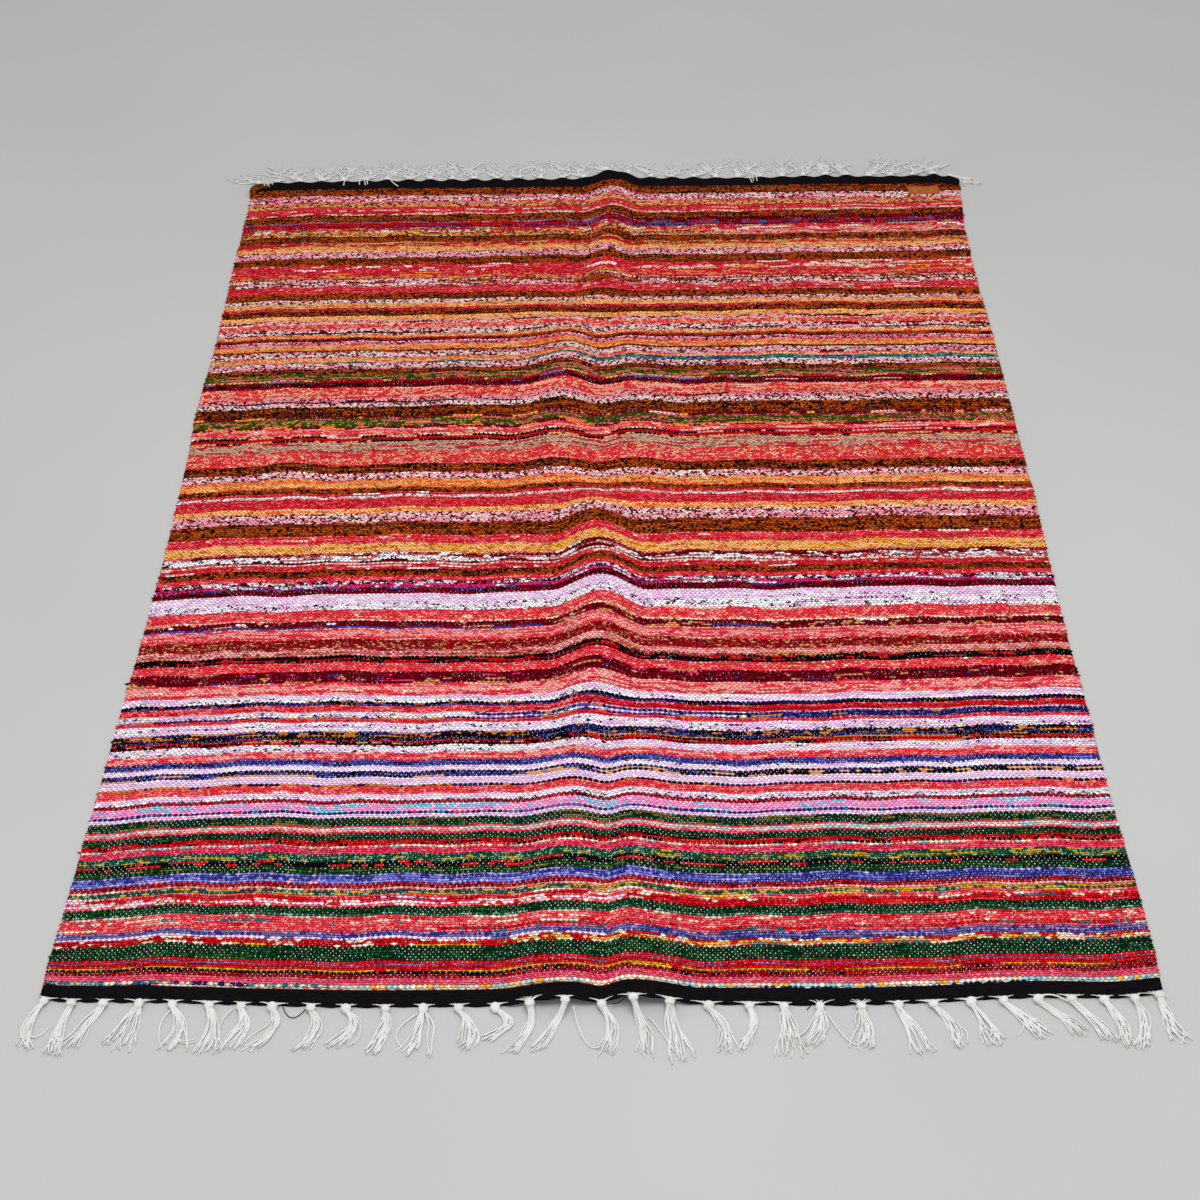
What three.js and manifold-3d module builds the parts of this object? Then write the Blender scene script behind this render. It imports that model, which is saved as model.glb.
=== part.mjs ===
// A hand-woven striped rag rug lying flat on a floor, with a fold memory that runs down its middle.
// Millimetres, +Z up, X across the rug, Y along it. The origin is on the floor, under the middle of the
// whole rug, fringe included. "along" counts from the near edge of the cloth, and "across" from its middle.
import * as THREE from "three";
import Module from "manifold-3d";
import { mergeVertices } from "three/addons/utils/BufferGeometryUtils.js";

const wasm = await Module();
wasm.setup();

// Driving dimensions
const CLOTH_WIDTH = 1400;
const CLOTH_LENGTH = 2000;
const CLOTH_THICKNESS = 4;
const HEADING_DEPTH = 22;
const FACE_GAP = 0.3;
const STRIP_DEPTH = 5;
const STRIP_HEIGHT = 3.4;
const KNOT_WIDTH = 14;
const KNOT_TOP_WIDTH = 9;
const KNOT_HEIGHT = 6.5;
const KNOT_SETBACK = 0.8;
const STRANDS_PER_TASSEL = 4;
const STRAND_WIDTH = 2.4;
const STRAND_HEIGHT = 2.6;
const STRAND_STEPS = 3;
const PATCH = { width: 60, depth: 27, thickness: 1.6, corner: 3, across: 625, along: 1948 };

// The fold memory is up to three soft ridges side by side: a left shoulder, a centre ridge and a right
// shoulder. Each row gives their heights and places at one station along the cloth.
const FOLD_ROWS = [
  { along: -90, left: 14, leftAt: -42, centre: 0, centreAt: -6, centreHalf: 70, right: 18, rightAt: 38 },
  { along: 0, left: 14, leftAt: -42, centre: 0, centreAt: -6, centreHalf: 70, right: 18, rightAt: 38 },
  { along: 120, left: 12, leftAt: -38, centre: 0, centreAt: -6, centreHalf: 70, right: 14, rightAt: 44 },
  { along: 260, left: 13, leftAt: -40, centre: 0, centreAt: -6, centreHalf: 70, right: 12, rightAt: 44 },
  { along: 400, left: 11, leftAt: -40, centre: 1, centreAt: -8, centreHalf: 70, right: 10, rightAt: 42 },
  { along: 500, left: 3, leftAt: -44, centre: 17, centreAt: -9, centreHalf: 74, right: 4, rightAt: 48 },
  { along: 580, left: 2, leftAt: -70, centre: 32, centreAt: -8, centreHalf: 76, right: 3, rightAt: 70 },
  { along: 670, left: 2, leftAt: -80, centre: 38, centreAt: -6, centreHalf: 80, right: 3, rightAt: 80 },
  { along: 770, left: 2, leftAt: -90, centre: 35, centreAt: -5, centreHalf: 76, right: 2, rightAt: 80 },
  { along: 860, left: 0, leftAt: -90, centre: 30, centreAt: -8, centreHalf: 72, right: 0, rightAt: 70 },
  { along: 930, left: 1, leftAt: -84, centre: 25, centreAt: -11, centreHalf: 66, right: 1, rightAt: 50 },
  { along: 990, left: 7, leftAt: -80, centre: 12, centreAt: -12, centreHalf: 62, right: 8, rightAt: 42 },
  { along: 1050, left: 11, leftAt: -74, centre: 1, centreAt: -10, centreHalf: 60, right: 8, rightAt: 38 },
  { along: 1120, left: 12, leftAt: -74, centre: 0, centreAt: -6, centreHalf: 60, right: 11, rightAt: 38 },
  { along: 1220, left: 14, leftAt: -70, centre: 0, centreAt: -4, centreHalf: 60, right: 7, rightAt: 46 },
  { along: 1340, left: 21, leftAt: -62, centre: 0, centreAt: 0, centreHalf: 60, right: 7, rightAt: 50 },
  { along: 1450, left: 14, leftAt: -68, centre: 0, centreAt: 0, centreHalf: 56, right: 5, rightAt: 44 },
  { along: 1530, left: 4, leftAt: -80, centre: 1, centreAt: 0, centreHalf: 54, right: 1, rightAt: 44 },
  { along: 1590, left: 0, leftAt: -80, centre: 7, centreAt: 1, centreHalf: 56, right: 0, rightAt: 44 },
  { along: 1650, left: 0, leftAt: -80, centre: 16, centreAt: 3, centreHalf: 56, right: 2, rightAt: 60 },
  { along: 1760, left: 1, leftAt: -80, centre: 15, centreAt: 6, centreHalf: 48, right: 0, rightAt: 60 },
  { along: 1880, left: 0, leftAt: -80, centre: 17, centreAt: 9, centreHalf: 56, right: 1, rightAt: 60 },
  { along: 2000, left: 0, leftAt: -80, centre: 18, centreAt: 11, centreHalf: 60, right: 1, rightAt: 60 },
  { along: 2090, left: 0, leftAt: -80, centre: 18, centreAt: 11, centreHalf: 60, right: 1, rightAt: 60 },
];
const LEFT_HALF = { outer: 90, inner: 60 };
const RIGHT_HALF = { outer: 94, inner: 42 };

// Where the two selvedges run, measured from the middle of the cloth.
const SIDE_ROWS = [
  { along: -90, left: -702, right: 703 },
  { along: 0, left: -702, right: 703 },
  { along: 150, left: -700, right: 704 },
  { along: 320, left: -697, right: 698 },
  { along: 500, left: -694, right: 696 },
  { along: 700, left: -690, right: 692 },
  { along: 900, left: -690, right: 694 },
  { along: 1100, left: -694, right: 694 },
  { along: 1250, left: -700, right: 693 },
  { along: 1450, left: -697, right: 692 },
  { along: 1600, left: -700, right: 688 },
  { along: 1800, left: -702, right: 688 },
  { along: 1920, left: -704, right: 695 },
  { along: 2000, left: -704, right: 699 },
  { along: 2090, left: -704, right: 699 },
];

// How far the two cut ends bow outwards, across the cloth.
const END_ROWS = [
  { across: -700, near: 0, far: -12 },
  { across: -670, near: 4, far: -4 },
  { across: -560, near: 6, far: 0 },
  { across: -420, near: 11, far: 2 },
  { across: -280, near: 15, far: 1 },
  { across: -150, near: 14, far: 2 },
  { across: 0, near: 12, far: 3 },
  { across: 150, near: 12, far: 1 },
  { across: 280, near: 14, far: 0 },
  { across: 400, near: 11, far: 3 },
  { across: 490, near: 6, far: 2 },
  { across: 560, near: 3, far: 0 },
  { across: 640, near: 5, far: 2 },
  { across: 670, near: 2, far: 0 },
  { across: 700, near: -3, far: -20 },
];
const BOW_REACH = { near: 260, far: 50 };

// Columns of the cloth across its width, close together over the fold memory.
const COLUMNS = [
  -700, -670, -560, -420, -280, -150, -118, -94, -76, -60, -44, -28, -14,
  0, 14, 26, 40, 56, 76, 104, 150, 280, 400, 490, 560, 640, 670, 700,
];
const ROW_STEP = 50;

// Tassels of the near fringe: the knot's place across the cloth, how far the tips are carried sideways,
// how far they reach out from the knot, and how wide the tips spread.
const NEAR_TASSELS = [
  { across: -692, lean: -10, reach: 68, spread: 16 },
  { across: -657, lean: -9, reach: 74, spread: 17 },
  { across: -617, lean: -28, reach: 64, spread: 15 },
  { across: -572, lean: -14, reach: 66, spread: 34 },
  { across: -530, lean: 9, reach: 67, spread: 24 },
  { across: -484, lean: 3, reach: 67, spread: 23 },
  { across: -444, lean: -7, reach: 63, spread: 24 },
  { across: -405, lean: -19, reach: 63, spread: 21 },
  { across: -357, lean: -5, reach: 60, spread: 16 },
  { across: -313, lean: -4, reach: 54, spread: 26 },
  { across: -264, lean: -10, reach: 64, spread: 22 },
  { across: -217, lean: -6, reach: 68, spread: 28 },
  { across: -173, lean: 12, reach: 58, spread: 22 },
  { across: -128, lean: -6, reach: 44, spread: 16 },
  { across: -85, lean: -18, reach: 64, spread: 18 },
  { across: -41, lean: -30, reach: 64, spread: 20 },
  { across: 4, lean: 6, reach: 70, spread: 15 },
  { across: 43, lean: 14, reach: 71, spread: 24 },
  { across: 88, lean: 15, reach: 80, spread: 23 },
  { across: 136, lean: 20, reach: 64, spread: 17 },
  { across: 186, lean: -9, reach: 61, spread: 17 },
  { across: 229, lean: 3, reach: 71, spread: 24 },
  { across: 273, lean: -17, reach: 55, spread: 22 },
  { across: 324, lean: 0, reach: 58, spread: 34 },
  { across: 370, lean: 27, reach: 69, spread: 22 },
  { across: 413, lean: 26, reach: 61, spread: 16 },
  { across: 460, lean: 20, reach: 59, spread: 24 },
  { across: 500, lean: 38, reach: 52, spread: 20 },
  { across: 543, lean: 42, reach: 49, spread: 18 },
  { across: 584, lean: 38, reach: 60, spread: 17 },
  { across: 624, lean: 19, reach: 66, spread: 17 },
  { across: 662, lean: -5, reach: 70, spread: 17 },
  { across: 693, lean: 14, reach: 66, spread: 20 },
];

// Tassels of the far fringe, which lie in looser tufts.
const FAR_TASSELS = [
  { across: -690, lean: -44, reach: 34, spread: 18 },
  { across: -654, lean: -16, reach: 58, spread: 20 },
  { across: -610, lean: -20, reach: 62, spread: 24 },
  { across: -566, lean: 4, reach: 64, spread: 34 },
  { across: -522, lean: 14, reach: 60, spread: 20 },
  { across: -479, lean: 12, reach: 58, spread: 22 },
  { across: -436, lean: 10, reach: 72, spread: 24 },
  { across: -393, lean: -12, reach: 60, spread: 20 },
  { across: -350, lean: 16, reach: 66, spread: 22 },
  { across: -306, lean: -14, reach: 70, spread: 26 },
  { across: -262, lean: -10, reach: 68, spread: 26 },
  { across: -218, lean: -20, reach: 62, spread: 18 },
  { across: -174, lean: 12, reach: 58, spread: 20 },
  { across: -131, lean: -14, reach: 66, spread: 20 },
  { across: -88, lean: -12, reach: 68, spread: 24 },
  { across: -44, lean: -20, reach: 62, spread: 20 },
  { across: 0, lean: -14, reach: 60, spread: 18 },
  { across: 44, lean: -20, reach: 62, spread: 24 },
  { across: 88, lean: -22, reach: 64, spread: 22 },
  { across: 131, lean: 20, reach: 50, spread: 20 },
  { across: 174, lean: 22, reach: 58, spread: 20 },
  { across: 218, lean: 18, reach: 70, spread: 20 },
  { across: 262, lean: 14, reach: 66, spread: 22 },
  { across: 306, lean: -10, reach: 58, spread: 20 },
  { across: 350, lean: 10, reach: 66, spread: 22 },
  { across: 393, lean: 12, reach: 70, spread: 22 },
  { across: 436, lean: -14, reach: 64, spread: 20 },
  { across: 479, lean: -12, reach: 60, spread: 22 },
  { across: 522, lean: 16, reach: 66, spread: 20 },
  { across: 566, lean: 18, reach: 58, spread: 22 },
  { across: 610, lean: 12, reach: 60, spread: 24 },
  { across: 652, lean: 20, reach: 54, spread: 20 },
  { across: 684, lean: 42, reach: 40, spread: 18 },
];

// One column of a table at any station: a smooth curve through its rows.
function through(rows, key, at, name) {
  const last = rows.length - 1;
  if (at <= rows[0][key]) return rows[0][name];
  if (at >= rows[last][key]) return rows[last][name];
  const i = rows.findIndex((row) => row[key] > at) - 1;
  const slope = (j) => {
    const a = rows[Math.max(j - 1, 0)];
    const b = rows[Math.min(j + 1, last)];
    return (b[name] - a[name]) / (b[key] - a[key]);
  };
  const span = rows[i + 1][key] - rows[i][key];
  const t = (at - rows[i][key]) / span;
  const rise = t * t * (3 - 2 * t);
  const leaving = t * (1 - t) * (1 - t) * span * slope(i);
  const arriving = t * t * (1 - t) * span * slope(i + 1);
  return rows[i][name] * (1 - rise) + rows[i + 1][name] * rise + leaving - arriving;
}

// A soft ridge of height 1 that ends at a distance of 1 on both sides.
function ridge(distance) {
  return Math.abs(distance) < 1 ? (1 - distance * distance) ** 2 : 0;
}

// Height of the cloth's underside over the floor.
function foldHeight(across, along) {
  const at = (name) => through(FOLD_ROWS, "along", along, name);
  const fromLeft = across - at("leftAt");
  const fromRight = across - at("rightAt");
  const left = Math.max(at("left"), 0) * ridge(fromLeft / (fromLeft < 0 ? LEFT_HALF.outer : LEFT_HALF.inner));
  const right = Math.max(at("right"), 0) * ridge(fromRight / (fromRight > 0 ? RIGHT_HALF.outer : RIGHT_HALF.inner));
  const centre = Math.max(at("centre"), 0) * ridge((across - at("centreAt")) / at("centreHalf"));
  return left + centre + right;
}

// A value on the cloth, straight between its columns, so that pieces that share an edge share its corners.
function betweenColumns(across, valueAt) {
  const last = COLUMNS.length - 1;
  const i = Math.min(Math.max(COLUMNS.findIndex((column) => column > across) - 1, 0), last - 1);
  const column = across >= COLUMNS[last] ? last - 1 : i;
  const t = (across - COLUMNS[column]) / (COLUMNS[column + 1] - COLUMNS[column]);
  return valueAt(COLUMNS[column]) * (1 - t) + valueAt(COLUMNS[column + 1]) * t;
}

// The point of the cloth's underside at a place given across and along it.
function onCloth(across, along) {
  const half = CLOTH_WIDTH / 2;
  const side = across < 0
    ? through(SIDE_ROWS, "along", along, "left") / -half
    : through(SIDE_ROWS, "along", along, "right") / half;
  const nearShare = Math.max(1 - Math.max(along, 0) / BOW_REACH.near, 0);
  const farShare = Math.max(1 - Math.max(CLOTH_LENGTH - along, 0) / BOW_REACH.far, 0);
  const near = betweenColumns(across, (column) => through(END_ROWS, "across", column, "near"));
  const far = betweenColumns(across, (column) => through(END_ROWS, "across", column, "far"));
  const height = betweenColumns(across, (column) => foldHeight(column, along));
  return new THREE.Vector3(
    across * side,
    along - CLOTH_LENGTH / 2 - near * nearShare + far * farShare,
    height,
  );
}

// A closed mesh from rows of points: the rows are joined into a skin, and the two end rows are capped by
// fans. Every row is a closed loop of the same number of points.
function loft(loops, capFirst, capLast) {
  const count = loops[0].length;
  const positions = loops.flat().flatMap((point) => [point.x, point.y, point.z]);
  const faces = [];
  for (let i = 0; i + 1 < loops.length; i++) {
    for (let j = 0; j < count; j++) {
      const a = i * count + j;
      const b = i * count + ((j + 1) % count);
      faces.push(a, b + count, b, a, a + count, b + count);
    }
  }
  faces.push(...capFirst, ...capLast.map((corner) => corner + (loops.length - 1) * count));
  const geometry = new THREE.BufferGeometry();
  geometry.setAttribute("position", new THREE.Float32BufferAttribute(positions, 3));
  geometry.setIndex(faces);
  return geometry;
}

// A sheet of cloth between the given columns and rows, with a thickness: each row of points goes across
// the underside and comes back over the top.
function sheet(columns, rows, thickness) {
  const loops = rows.map((along) => {
    const under = columns.map((across) => onCloth(across, along));
    const over = under.map((point) => point.clone().setZ(point.z + thickness)).reverse();
    return [...under, ...over];
  });
  const wide = columns.length;
  const firstCap = [];
  const lastCap = [];
  for (let i = 0; i + 1 < wide; i++) {
    const [a, b, c, d] = [i, i + 1, 2 * wide - 2 - i, 2 * wide - 1 - i];
    firstCap.push(a, b, c, a, c, d);
    lastCap.push(a, c, b, a, d, c);
  }
  return loft(loops, firstCap, lastCap);
}

// Even steps between two stations.
function steps(from, to, step) {
  const count = Math.ceil((to - from) / step);
  return Array.from({ length: count + 1 }, (_, i) => from + ((to - from) * i) / count);
}

// A strand of the fringe: three-sided, lying on its flat base, on a curve that leaves the knot straight
// and ends at its tip. It comes down from the height of its knot and then lies on the floor.
function strand(root, tip, knotHeight, outwards) {
  const middle = new THREE.Vector2(root.x * 0.75 + tip.x * 0.25, (root.y + tip.y) / 2);
  const curve = new THREE.QuadraticBezierCurve(root, middle, tip);
  const loops = [];
  for (let i = 0; i <= STRAND_STEPS; i++) {
    const t = i / STRAND_STEPS;
    const point = curve.getPoint(t);
    const heading = curve.getTangent(t);
    const half = (STRAND_WIDTH / 2) * (1 - 0.3 * t);
    const base = knotHeight * Math.max(1 - 2 * t, 0);
    const side = new THREE.Vector2(heading.y, -heading.x).multiplyScalar(half * outwards);
    loops.push([
      new THREE.Vector3(point.x - side.x, point.y - side.y, base),
      new THREE.Vector3(point.x + side.x, point.y + side.y, base),
      new THREE.Vector3(point.x, point.y, base + STRAND_HEIGHT * (1 - 0.2 * t)),
    ]);
  }
  const geometry = loft(loops, [0, 1, 2], [0, 2, 1]);
  if (outwards < 0) geometry.index.array.reverse();
  return geometry;
}

// A knot: a block with four sloping sides, standing on its wide face.
function knot(centre) {
  const corner = Math.SQRT1_2;
  const block = new THREE.CylinderGeometry(KNOT_TOP_WIDTH * corner, KNOT_WIDTH * corner, KNOT_HEIGHT, 4);
  block.rotateY(Math.PI / 4);
  block.rotateX(Math.PI / 2);
  return block.translate(centre.x, centre.y, centre.z + KNOT_HEIGHT / 2);
}

function solid(geometry) {
  const bare = geometry.clone();
  bare.deleteAttribute("normal");
  bare.deleteAttribute("uv");
  const merged = mergeVertices(bare, 1e-4);
  const mesh = new wasm.Mesh({
    numProp: 3,
    vertProperties: merged.getAttribute("position").array,
    triVerts: new Uint32Array(merged.index.array),
  });
  return new wasm.Manifold(mesh);
}

function geometryOf(body) {
  const mesh = body.getMesh();
  const geometry = new THREE.BufferGeometry();
  geometry.setAttribute("position", new THREE.BufferAttribute(mesh.vertProperties, 3));
  geometry.setIndex(new THREE.BufferAttribute(mesh.triVerts, 1));
  return geometry;
}

// One end's fringe: a narrow strip along the heading's outer edge, a knot for each tassel, and the
// tassel's strands. outwards is -1 at the near end and 1 at the far end.
function fringe(tassels, outwards) {
  const edge = outwards < 0 ? 0 : CLOTH_LENGTH;
  const inner = edge + outwards * FACE_GAP;
  const outer = inner + outwards * STRIP_DEPTH;
  let body = solid(sheet(COLUMNS, outwards < 0 ? [outer, inner] : [inner, outer], STRIP_HEIGHT));
  for (const tassel of tassels) {
    const centre = onCloth(tassel.across, inner);
    const corners = [-0.5, 0.5].map((side) => onCloth(tassel.across + side * KNOT_WIDTH, inner).y);
    const outermost = Math.max(...[centre.y, ...corners].map((y) => y * outwards));
    centre.y = outwards * (outermost + KNOT_WIDTH / 2 + KNOT_SETBACK);
    body = body.add(solid(knot(centre)));
    for (let i = 0; i < STRANDS_PER_TASSEL; i++) {
      const share = (2 * i) / (STRANDS_PER_TASSEL - 1) - 1;
      const root = new THREE.Vector2(centre.x + share * KNOT_WIDTH * 0.4, centre.y);
      const reach = tassel.reach * (1 - 0.08 * ((i * 2) % 3));
      const tip = new THREE.Vector2(
        centre.x + tassel.lean + (share * tassel.spread) / 2,
        centre.y + outwards * reach,
      );
      body = body.add(solid(strand(root, tip, centre.z, outwards)));
    }
  }
  return geometryOf(body);
}

// The leather patch: a thin plate with rounded corners, sewn flat on the cloth beside the far heading.
function patch() {
  const { width, depth, corner } = PATCH;
  const [x, y] = [width / 2, depth / 2];
  const shape = new THREE.Shape();
  shape.moveTo(-x + corner, -y);
  shape.lineTo(x - corner, -y);
  shape.quadraticCurveTo(x, -y, x, -y + corner);
  shape.lineTo(x, y - corner);
  shape.quadraticCurveTo(x, y, x - corner, y);
  shape.lineTo(-x + corner, y);
  shape.quadraticCurveTo(-x, y, -x, y - corner);
  shape.lineTo(-x, -y + corner);
  shape.quadraticCurveTo(-x, -y, -x + corner, -y);
  return new THREE.ExtrudeGeometry(shape, { depth: PATCH.thickness, bevelEnabled: false, curveSegments: 3 });
}

const wovenField = new THREE.MeshStandardMaterial({ color: 0xb8474a, roughness: 0.95, metalness: 0 });
const blackHeading = new THREE.MeshStandardMaterial({ color: 0x141313, roughness: 0.95, metalness: 0 });
const whiteWarp = new THREE.MeshStandardMaterial({ color: 0xe4e1d8, roughness: 0.9, metalness: 0 });
const tanLeather = new THREE.MeshStandardMaterial({ color: 0x9a531f, roughness: 0.6, metalness: 0 });

const rug = new THREE.Group();

function addPiece(name, geometry, material) {
  const mesh = new THREE.Mesh(geometry, material);
  mesh.name = name;
  rug.add(mesh);
  return mesh;
}

const fieldStart = HEADING_DEPTH + FACE_GAP;
const fieldEnd = CLOTH_LENGTH - HEADING_DEPTH - FACE_GAP;
addPiece("rug_field", sheet(COLUMNS, steps(fieldStart, fieldEnd, ROW_STEP), CLOTH_THICKNESS), wovenField);
addPiece("near_heading", sheet(COLUMNS, [0, HEADING_DEPTH], CLOTH_THICKNESS), blackHeading);
addPiece("far_heading", sheet(COLUMNS, [CLOTH_LENGTH - HEADING_DEPTH, CLOTH_LENGTH], CLOTH_THICKNESS), blackHeading);
addPiece("near_fringe", fringe(NEAR_TASSELS, -1), whiteWarp);
addPiece("far_fringe", fringe(FAR_TASSELS, 1), whiteWarp);
const leather = addPiece("leather_patch", patch(), tanLeather);
leather.position.set(PATCH.across, PATCH.along - CLOTH_LENGTH / 2, CLOTH_THICKNESS + FACE_GAP);

// The origin goes to the floor under the middle of the whole rug.
const middle = new THREE.Box3().setFromObject(rug).getCenter(new THREE.Vector3());
rug.position.set(-middle.x, -middle.y, 0);

export default rug;
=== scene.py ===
"""A hand-woven striped rag rug on a floor, with a soft fold ridge and knotted fringe at both ends.

Everything is in metres in the frame's own coordinates. Places on the cloth are given as a weaver
would measure them, in millimetres: "along" counts from the near cut edge, "across" from the middle.
"""
import math

import bpy
import numpy as np
from mathutils import Matrix, Vector


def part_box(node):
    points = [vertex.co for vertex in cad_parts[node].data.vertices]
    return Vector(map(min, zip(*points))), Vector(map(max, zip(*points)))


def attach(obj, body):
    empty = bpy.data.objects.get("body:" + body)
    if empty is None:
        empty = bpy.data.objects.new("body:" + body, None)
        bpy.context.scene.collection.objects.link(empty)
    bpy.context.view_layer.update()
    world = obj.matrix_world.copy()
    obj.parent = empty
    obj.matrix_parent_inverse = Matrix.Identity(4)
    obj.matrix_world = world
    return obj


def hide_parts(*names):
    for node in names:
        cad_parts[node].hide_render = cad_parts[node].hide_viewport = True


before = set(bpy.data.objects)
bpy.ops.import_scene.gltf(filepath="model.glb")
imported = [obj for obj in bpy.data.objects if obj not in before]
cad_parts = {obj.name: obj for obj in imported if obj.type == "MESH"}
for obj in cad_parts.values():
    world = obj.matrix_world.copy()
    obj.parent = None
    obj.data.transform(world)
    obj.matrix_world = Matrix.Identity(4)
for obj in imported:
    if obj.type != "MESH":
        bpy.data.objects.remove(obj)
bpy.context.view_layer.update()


# The view: a camera two metres over the floor, about a metre and a half short of the near end, looks
# down along the rug. It is placed from the middle of the cloth, which the leather patch gives, because
# the fringe is uneven.
MM = 0.001
patch_across = 625.0
patch_along = 1948.0
cloth_width = 1400.0
cloth_length = 2000.0
patch_low, patch_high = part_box("leather_patch")
patch_middle = (patch_low + patch_high) / 2
cloth_middle = Vector((
    patch_middle.x - patch_across * MM,
    patch_middle.y - (patch_along - cloth_length / 2) * MM,
    0.0,
))
camera_from_middle = Vector((0.0441, -2.5422, 2.035))
camera_pitch = math.radians(41.643)
camera_yaw = math.radians(-1.201)
camera_roll = math.radians(1.181)
camera_lens = 60.13

ahead = Vector((
    math.sin(camera_yaw) * math.cos(camera_pitch),
    math.cos(camera_yaw) * math.cos(camera_pitch),
    -math.sin(camera_pitch),
))
level = Vector((math.cos(camera_yaw), -math.sin(camera_yaw), 0.0))
down = ahead.cross(level)
right = math.cos(camera_roll) * level + math.sin(camera_roll) * down
up = math.sin(camera_roll) * level - math.cos(camera_roll) * down
camera_turn = Matrix((right, up, -ahead)).transposed().to_4x4()
camera_data = bpy.data.cameras.new("view")
camera_data.sensor_fit = "HORIZONTAL"
camera_data.sensor_width = 36.0
camera_data.lens = camera_lens
camera = bpy.data.objects.new("view", camera_data)
camera.matrix_world = Matrix.Translation(cloth_middle + camera_from_middle) @ camera_turn
bpy.context.collection.objects.link(camera)
bpy.context.scene.camera = camera


# The studio: a plain pale floor, soft white light from all round, and one large soft light high over
# the near end. The nodes of every finish are added with the small helpers defined here.
class Wire:
    """A socket in a formula: each sign between it and another, or a number, adds one Math node."""

    def __init__(self, tree, socket):
        self.tree = tree
        self.socket = socket

    def step(self, operation, *others):
        node = self.tree.nodes.new("ShaderNodeMath")
        node.operation = operation
        for place, value in enumerate((self, *others)):
            join(self.tree, value, node.inputs[place])
        return Wire(self.tree, node.outputs[0])

    def __add__(self, other):
        return self.step("ADD", other)

    def __sub__(self, other):
        return self.step("SUBTRACT", other)

    def __rsub__(self, other):
        return self.step("MULTIPLY", -1.0) + other

    def __mul__(self, other):
        return self.step("MULTIPLY", other)

    def __truediv__(self, other):
        return self.step("DIVIDE", other)

    def __mod__(self, other):
        return self.step("FLOORED_MODULO", other)

    def __gt__(self, other):
        return self.step("GREATER_THAN", other)

    __radd__ = __add__
    __rmul__ = __mul__

    def floor(self):
        return self.step("FLOOR")

    def size(self):
        return self.step("ABSOLUTE")

    def wave(self):
        """Cosine, with one turn for each whole number."""
        return (self * (2 * math.pi)).step("COSINE")

    def ramp(self, low, high):
        """0 below low, 1 above high, and straight between them."""
        node = self.tree.nodes.new("ShaderNodeMapRange")
        join(self.tree, self, node.inputs["Value"])
        node.inputs["From Min"].default_value = low
        node.inputs["From Max"].default_value = high
        return Wire(self.tree, node.outputs["Result"])


def join(tree, value, socket):
    """Link a wire to a socket, or set anything else as the socket's value."""
    if isinstance(value, Wire):
        tree.links.new(value.socket, socket)
    else:
        socket.default_value = value


class Finish:
    """A material being made: a Principled surface whose roughness and sheen are plain constants."""

    def __init__(self, name, roughness, sheen=0.0, gloss=0.3):
        self.material = bpy.data.materials.new(name)
        self.material.use_nodes = True
        self.tree = self.material.node_tree
        self.surface = self.tree.nodes["Principled BSDF"]
        self.surface.inputs["Roughness"].default_value = roughness
        self.surface.inputs["Specular IOR Level"].default_value = gloss
        self.surface.inputs["Sheen Weight"].default_value = sheen

    def add(self, kind, output, inputs=None, **settings):
        """A node of the given kind, and the wire that leaves the named output."""
        node = self.tree.nodes.new(kind)
        for name, value in settings.items():
            setattr(node, name, value)
        for name, value in (inputs or {}).items():
            join(self.tree, value, node.inputs[name])
        return Wire(self.tree, node.outputs[output])

    def map_of(self, name):
        """The two coordinates of one of the piece's own UV maps."""
        vector = self.add("ShaderNodeUVMap", "UV", uv_map=name)
        node = self.tree.nodes.new("ShaderNodeSeparateXYZ")
        join(self.tree, vector, node.inputs[0])
        return Wire(self.tree, node.outputs[0]), Wire(self.tree, node.outputs[1])

    def attribute(self, name, output="Color"):
        return self.add("ShaderNodeAttribute", output, attribute_name=name)

    def place(self, *parts):
        """A vector from up to three wires or numbers."""
        return self.add("ShaderNodeCombineXYZ", "Vector", dict(enumerate(parts)))

    def chance(self, *parts):
        """A random number from 0 to 1 that belongs to the given place."""
        return self.add("ShaderNodeTexWhiteNoise", "Value", {"Vector": self.place(*parts)})

    def cloud(self, size, detail=2.0, vector=None):
        """Soft noise from about 0.3 to 0.7, with lumps of the given size in metres."""
        source = vector or self.add("ShaderNodeTexCoord", "Object")
        inputs = {"Vector": source, "Scale": 1.0 / size, "Detail": detail}
        return self.add("ShaderNodeTexNoise", "Fac", inputs)

    def blend(self, share, first, second, how="MIX"):
        """The first colour, with this share of the second."""
        inputs = {"Factor": share, 6: first, 7: second}
        return self.add("ShaderNodeMix", 2, inputs, data_type="RGBA", blend_type=how)

    def colour(self, value):
        join(self.tree, value, self.surface.inputs["Base Color"])

    def relief(self, height, depth):
        """Raise the surface by the height, a number from 0 to 1, times the depth in metres."""
        normal = self.add("ShaderNodeBump", "Normal", {"Height": height, "Distance": depth})
        join(self.tree, normal, self.surface.inputs["Normal"])


def linear(red, green, blue):
    """A colour of 0 to 255 as it is seen on a screen, as the four linear numbers that nodes take."""
    seen = np.array([red, green, blue]) / 255
    return (*np.where(seen < 0.04045, seen / 12.92, ((seen + 0.055) / 1.055) ** 2.4), 1.0)


def mottled(name, first, second, lump, low=0.3, high=0.7, **surface):
    """A finish whose colour wavers between two, in lumps of the given size in metres."""
    finish = Finish(name, **surface)
    finish.colour(finish.blend(finish.cloud(lump).ramp(low, high), first, second))
    return finish


def add_object(name, mesh, finish):
    """A new object that shows a mesh in a finish, at the origin."""
    piece = bpy.data.objects.new(name, mesh)
    bpy.context.collection.objects.link(piece)
    mesh.materials.append(finish.material)
    return piece


def table(names, rows):
    """Rows of numbers whose columns have names."""
    return np.array(rows, dtype=[(name, float) for name in names.split()])


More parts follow.
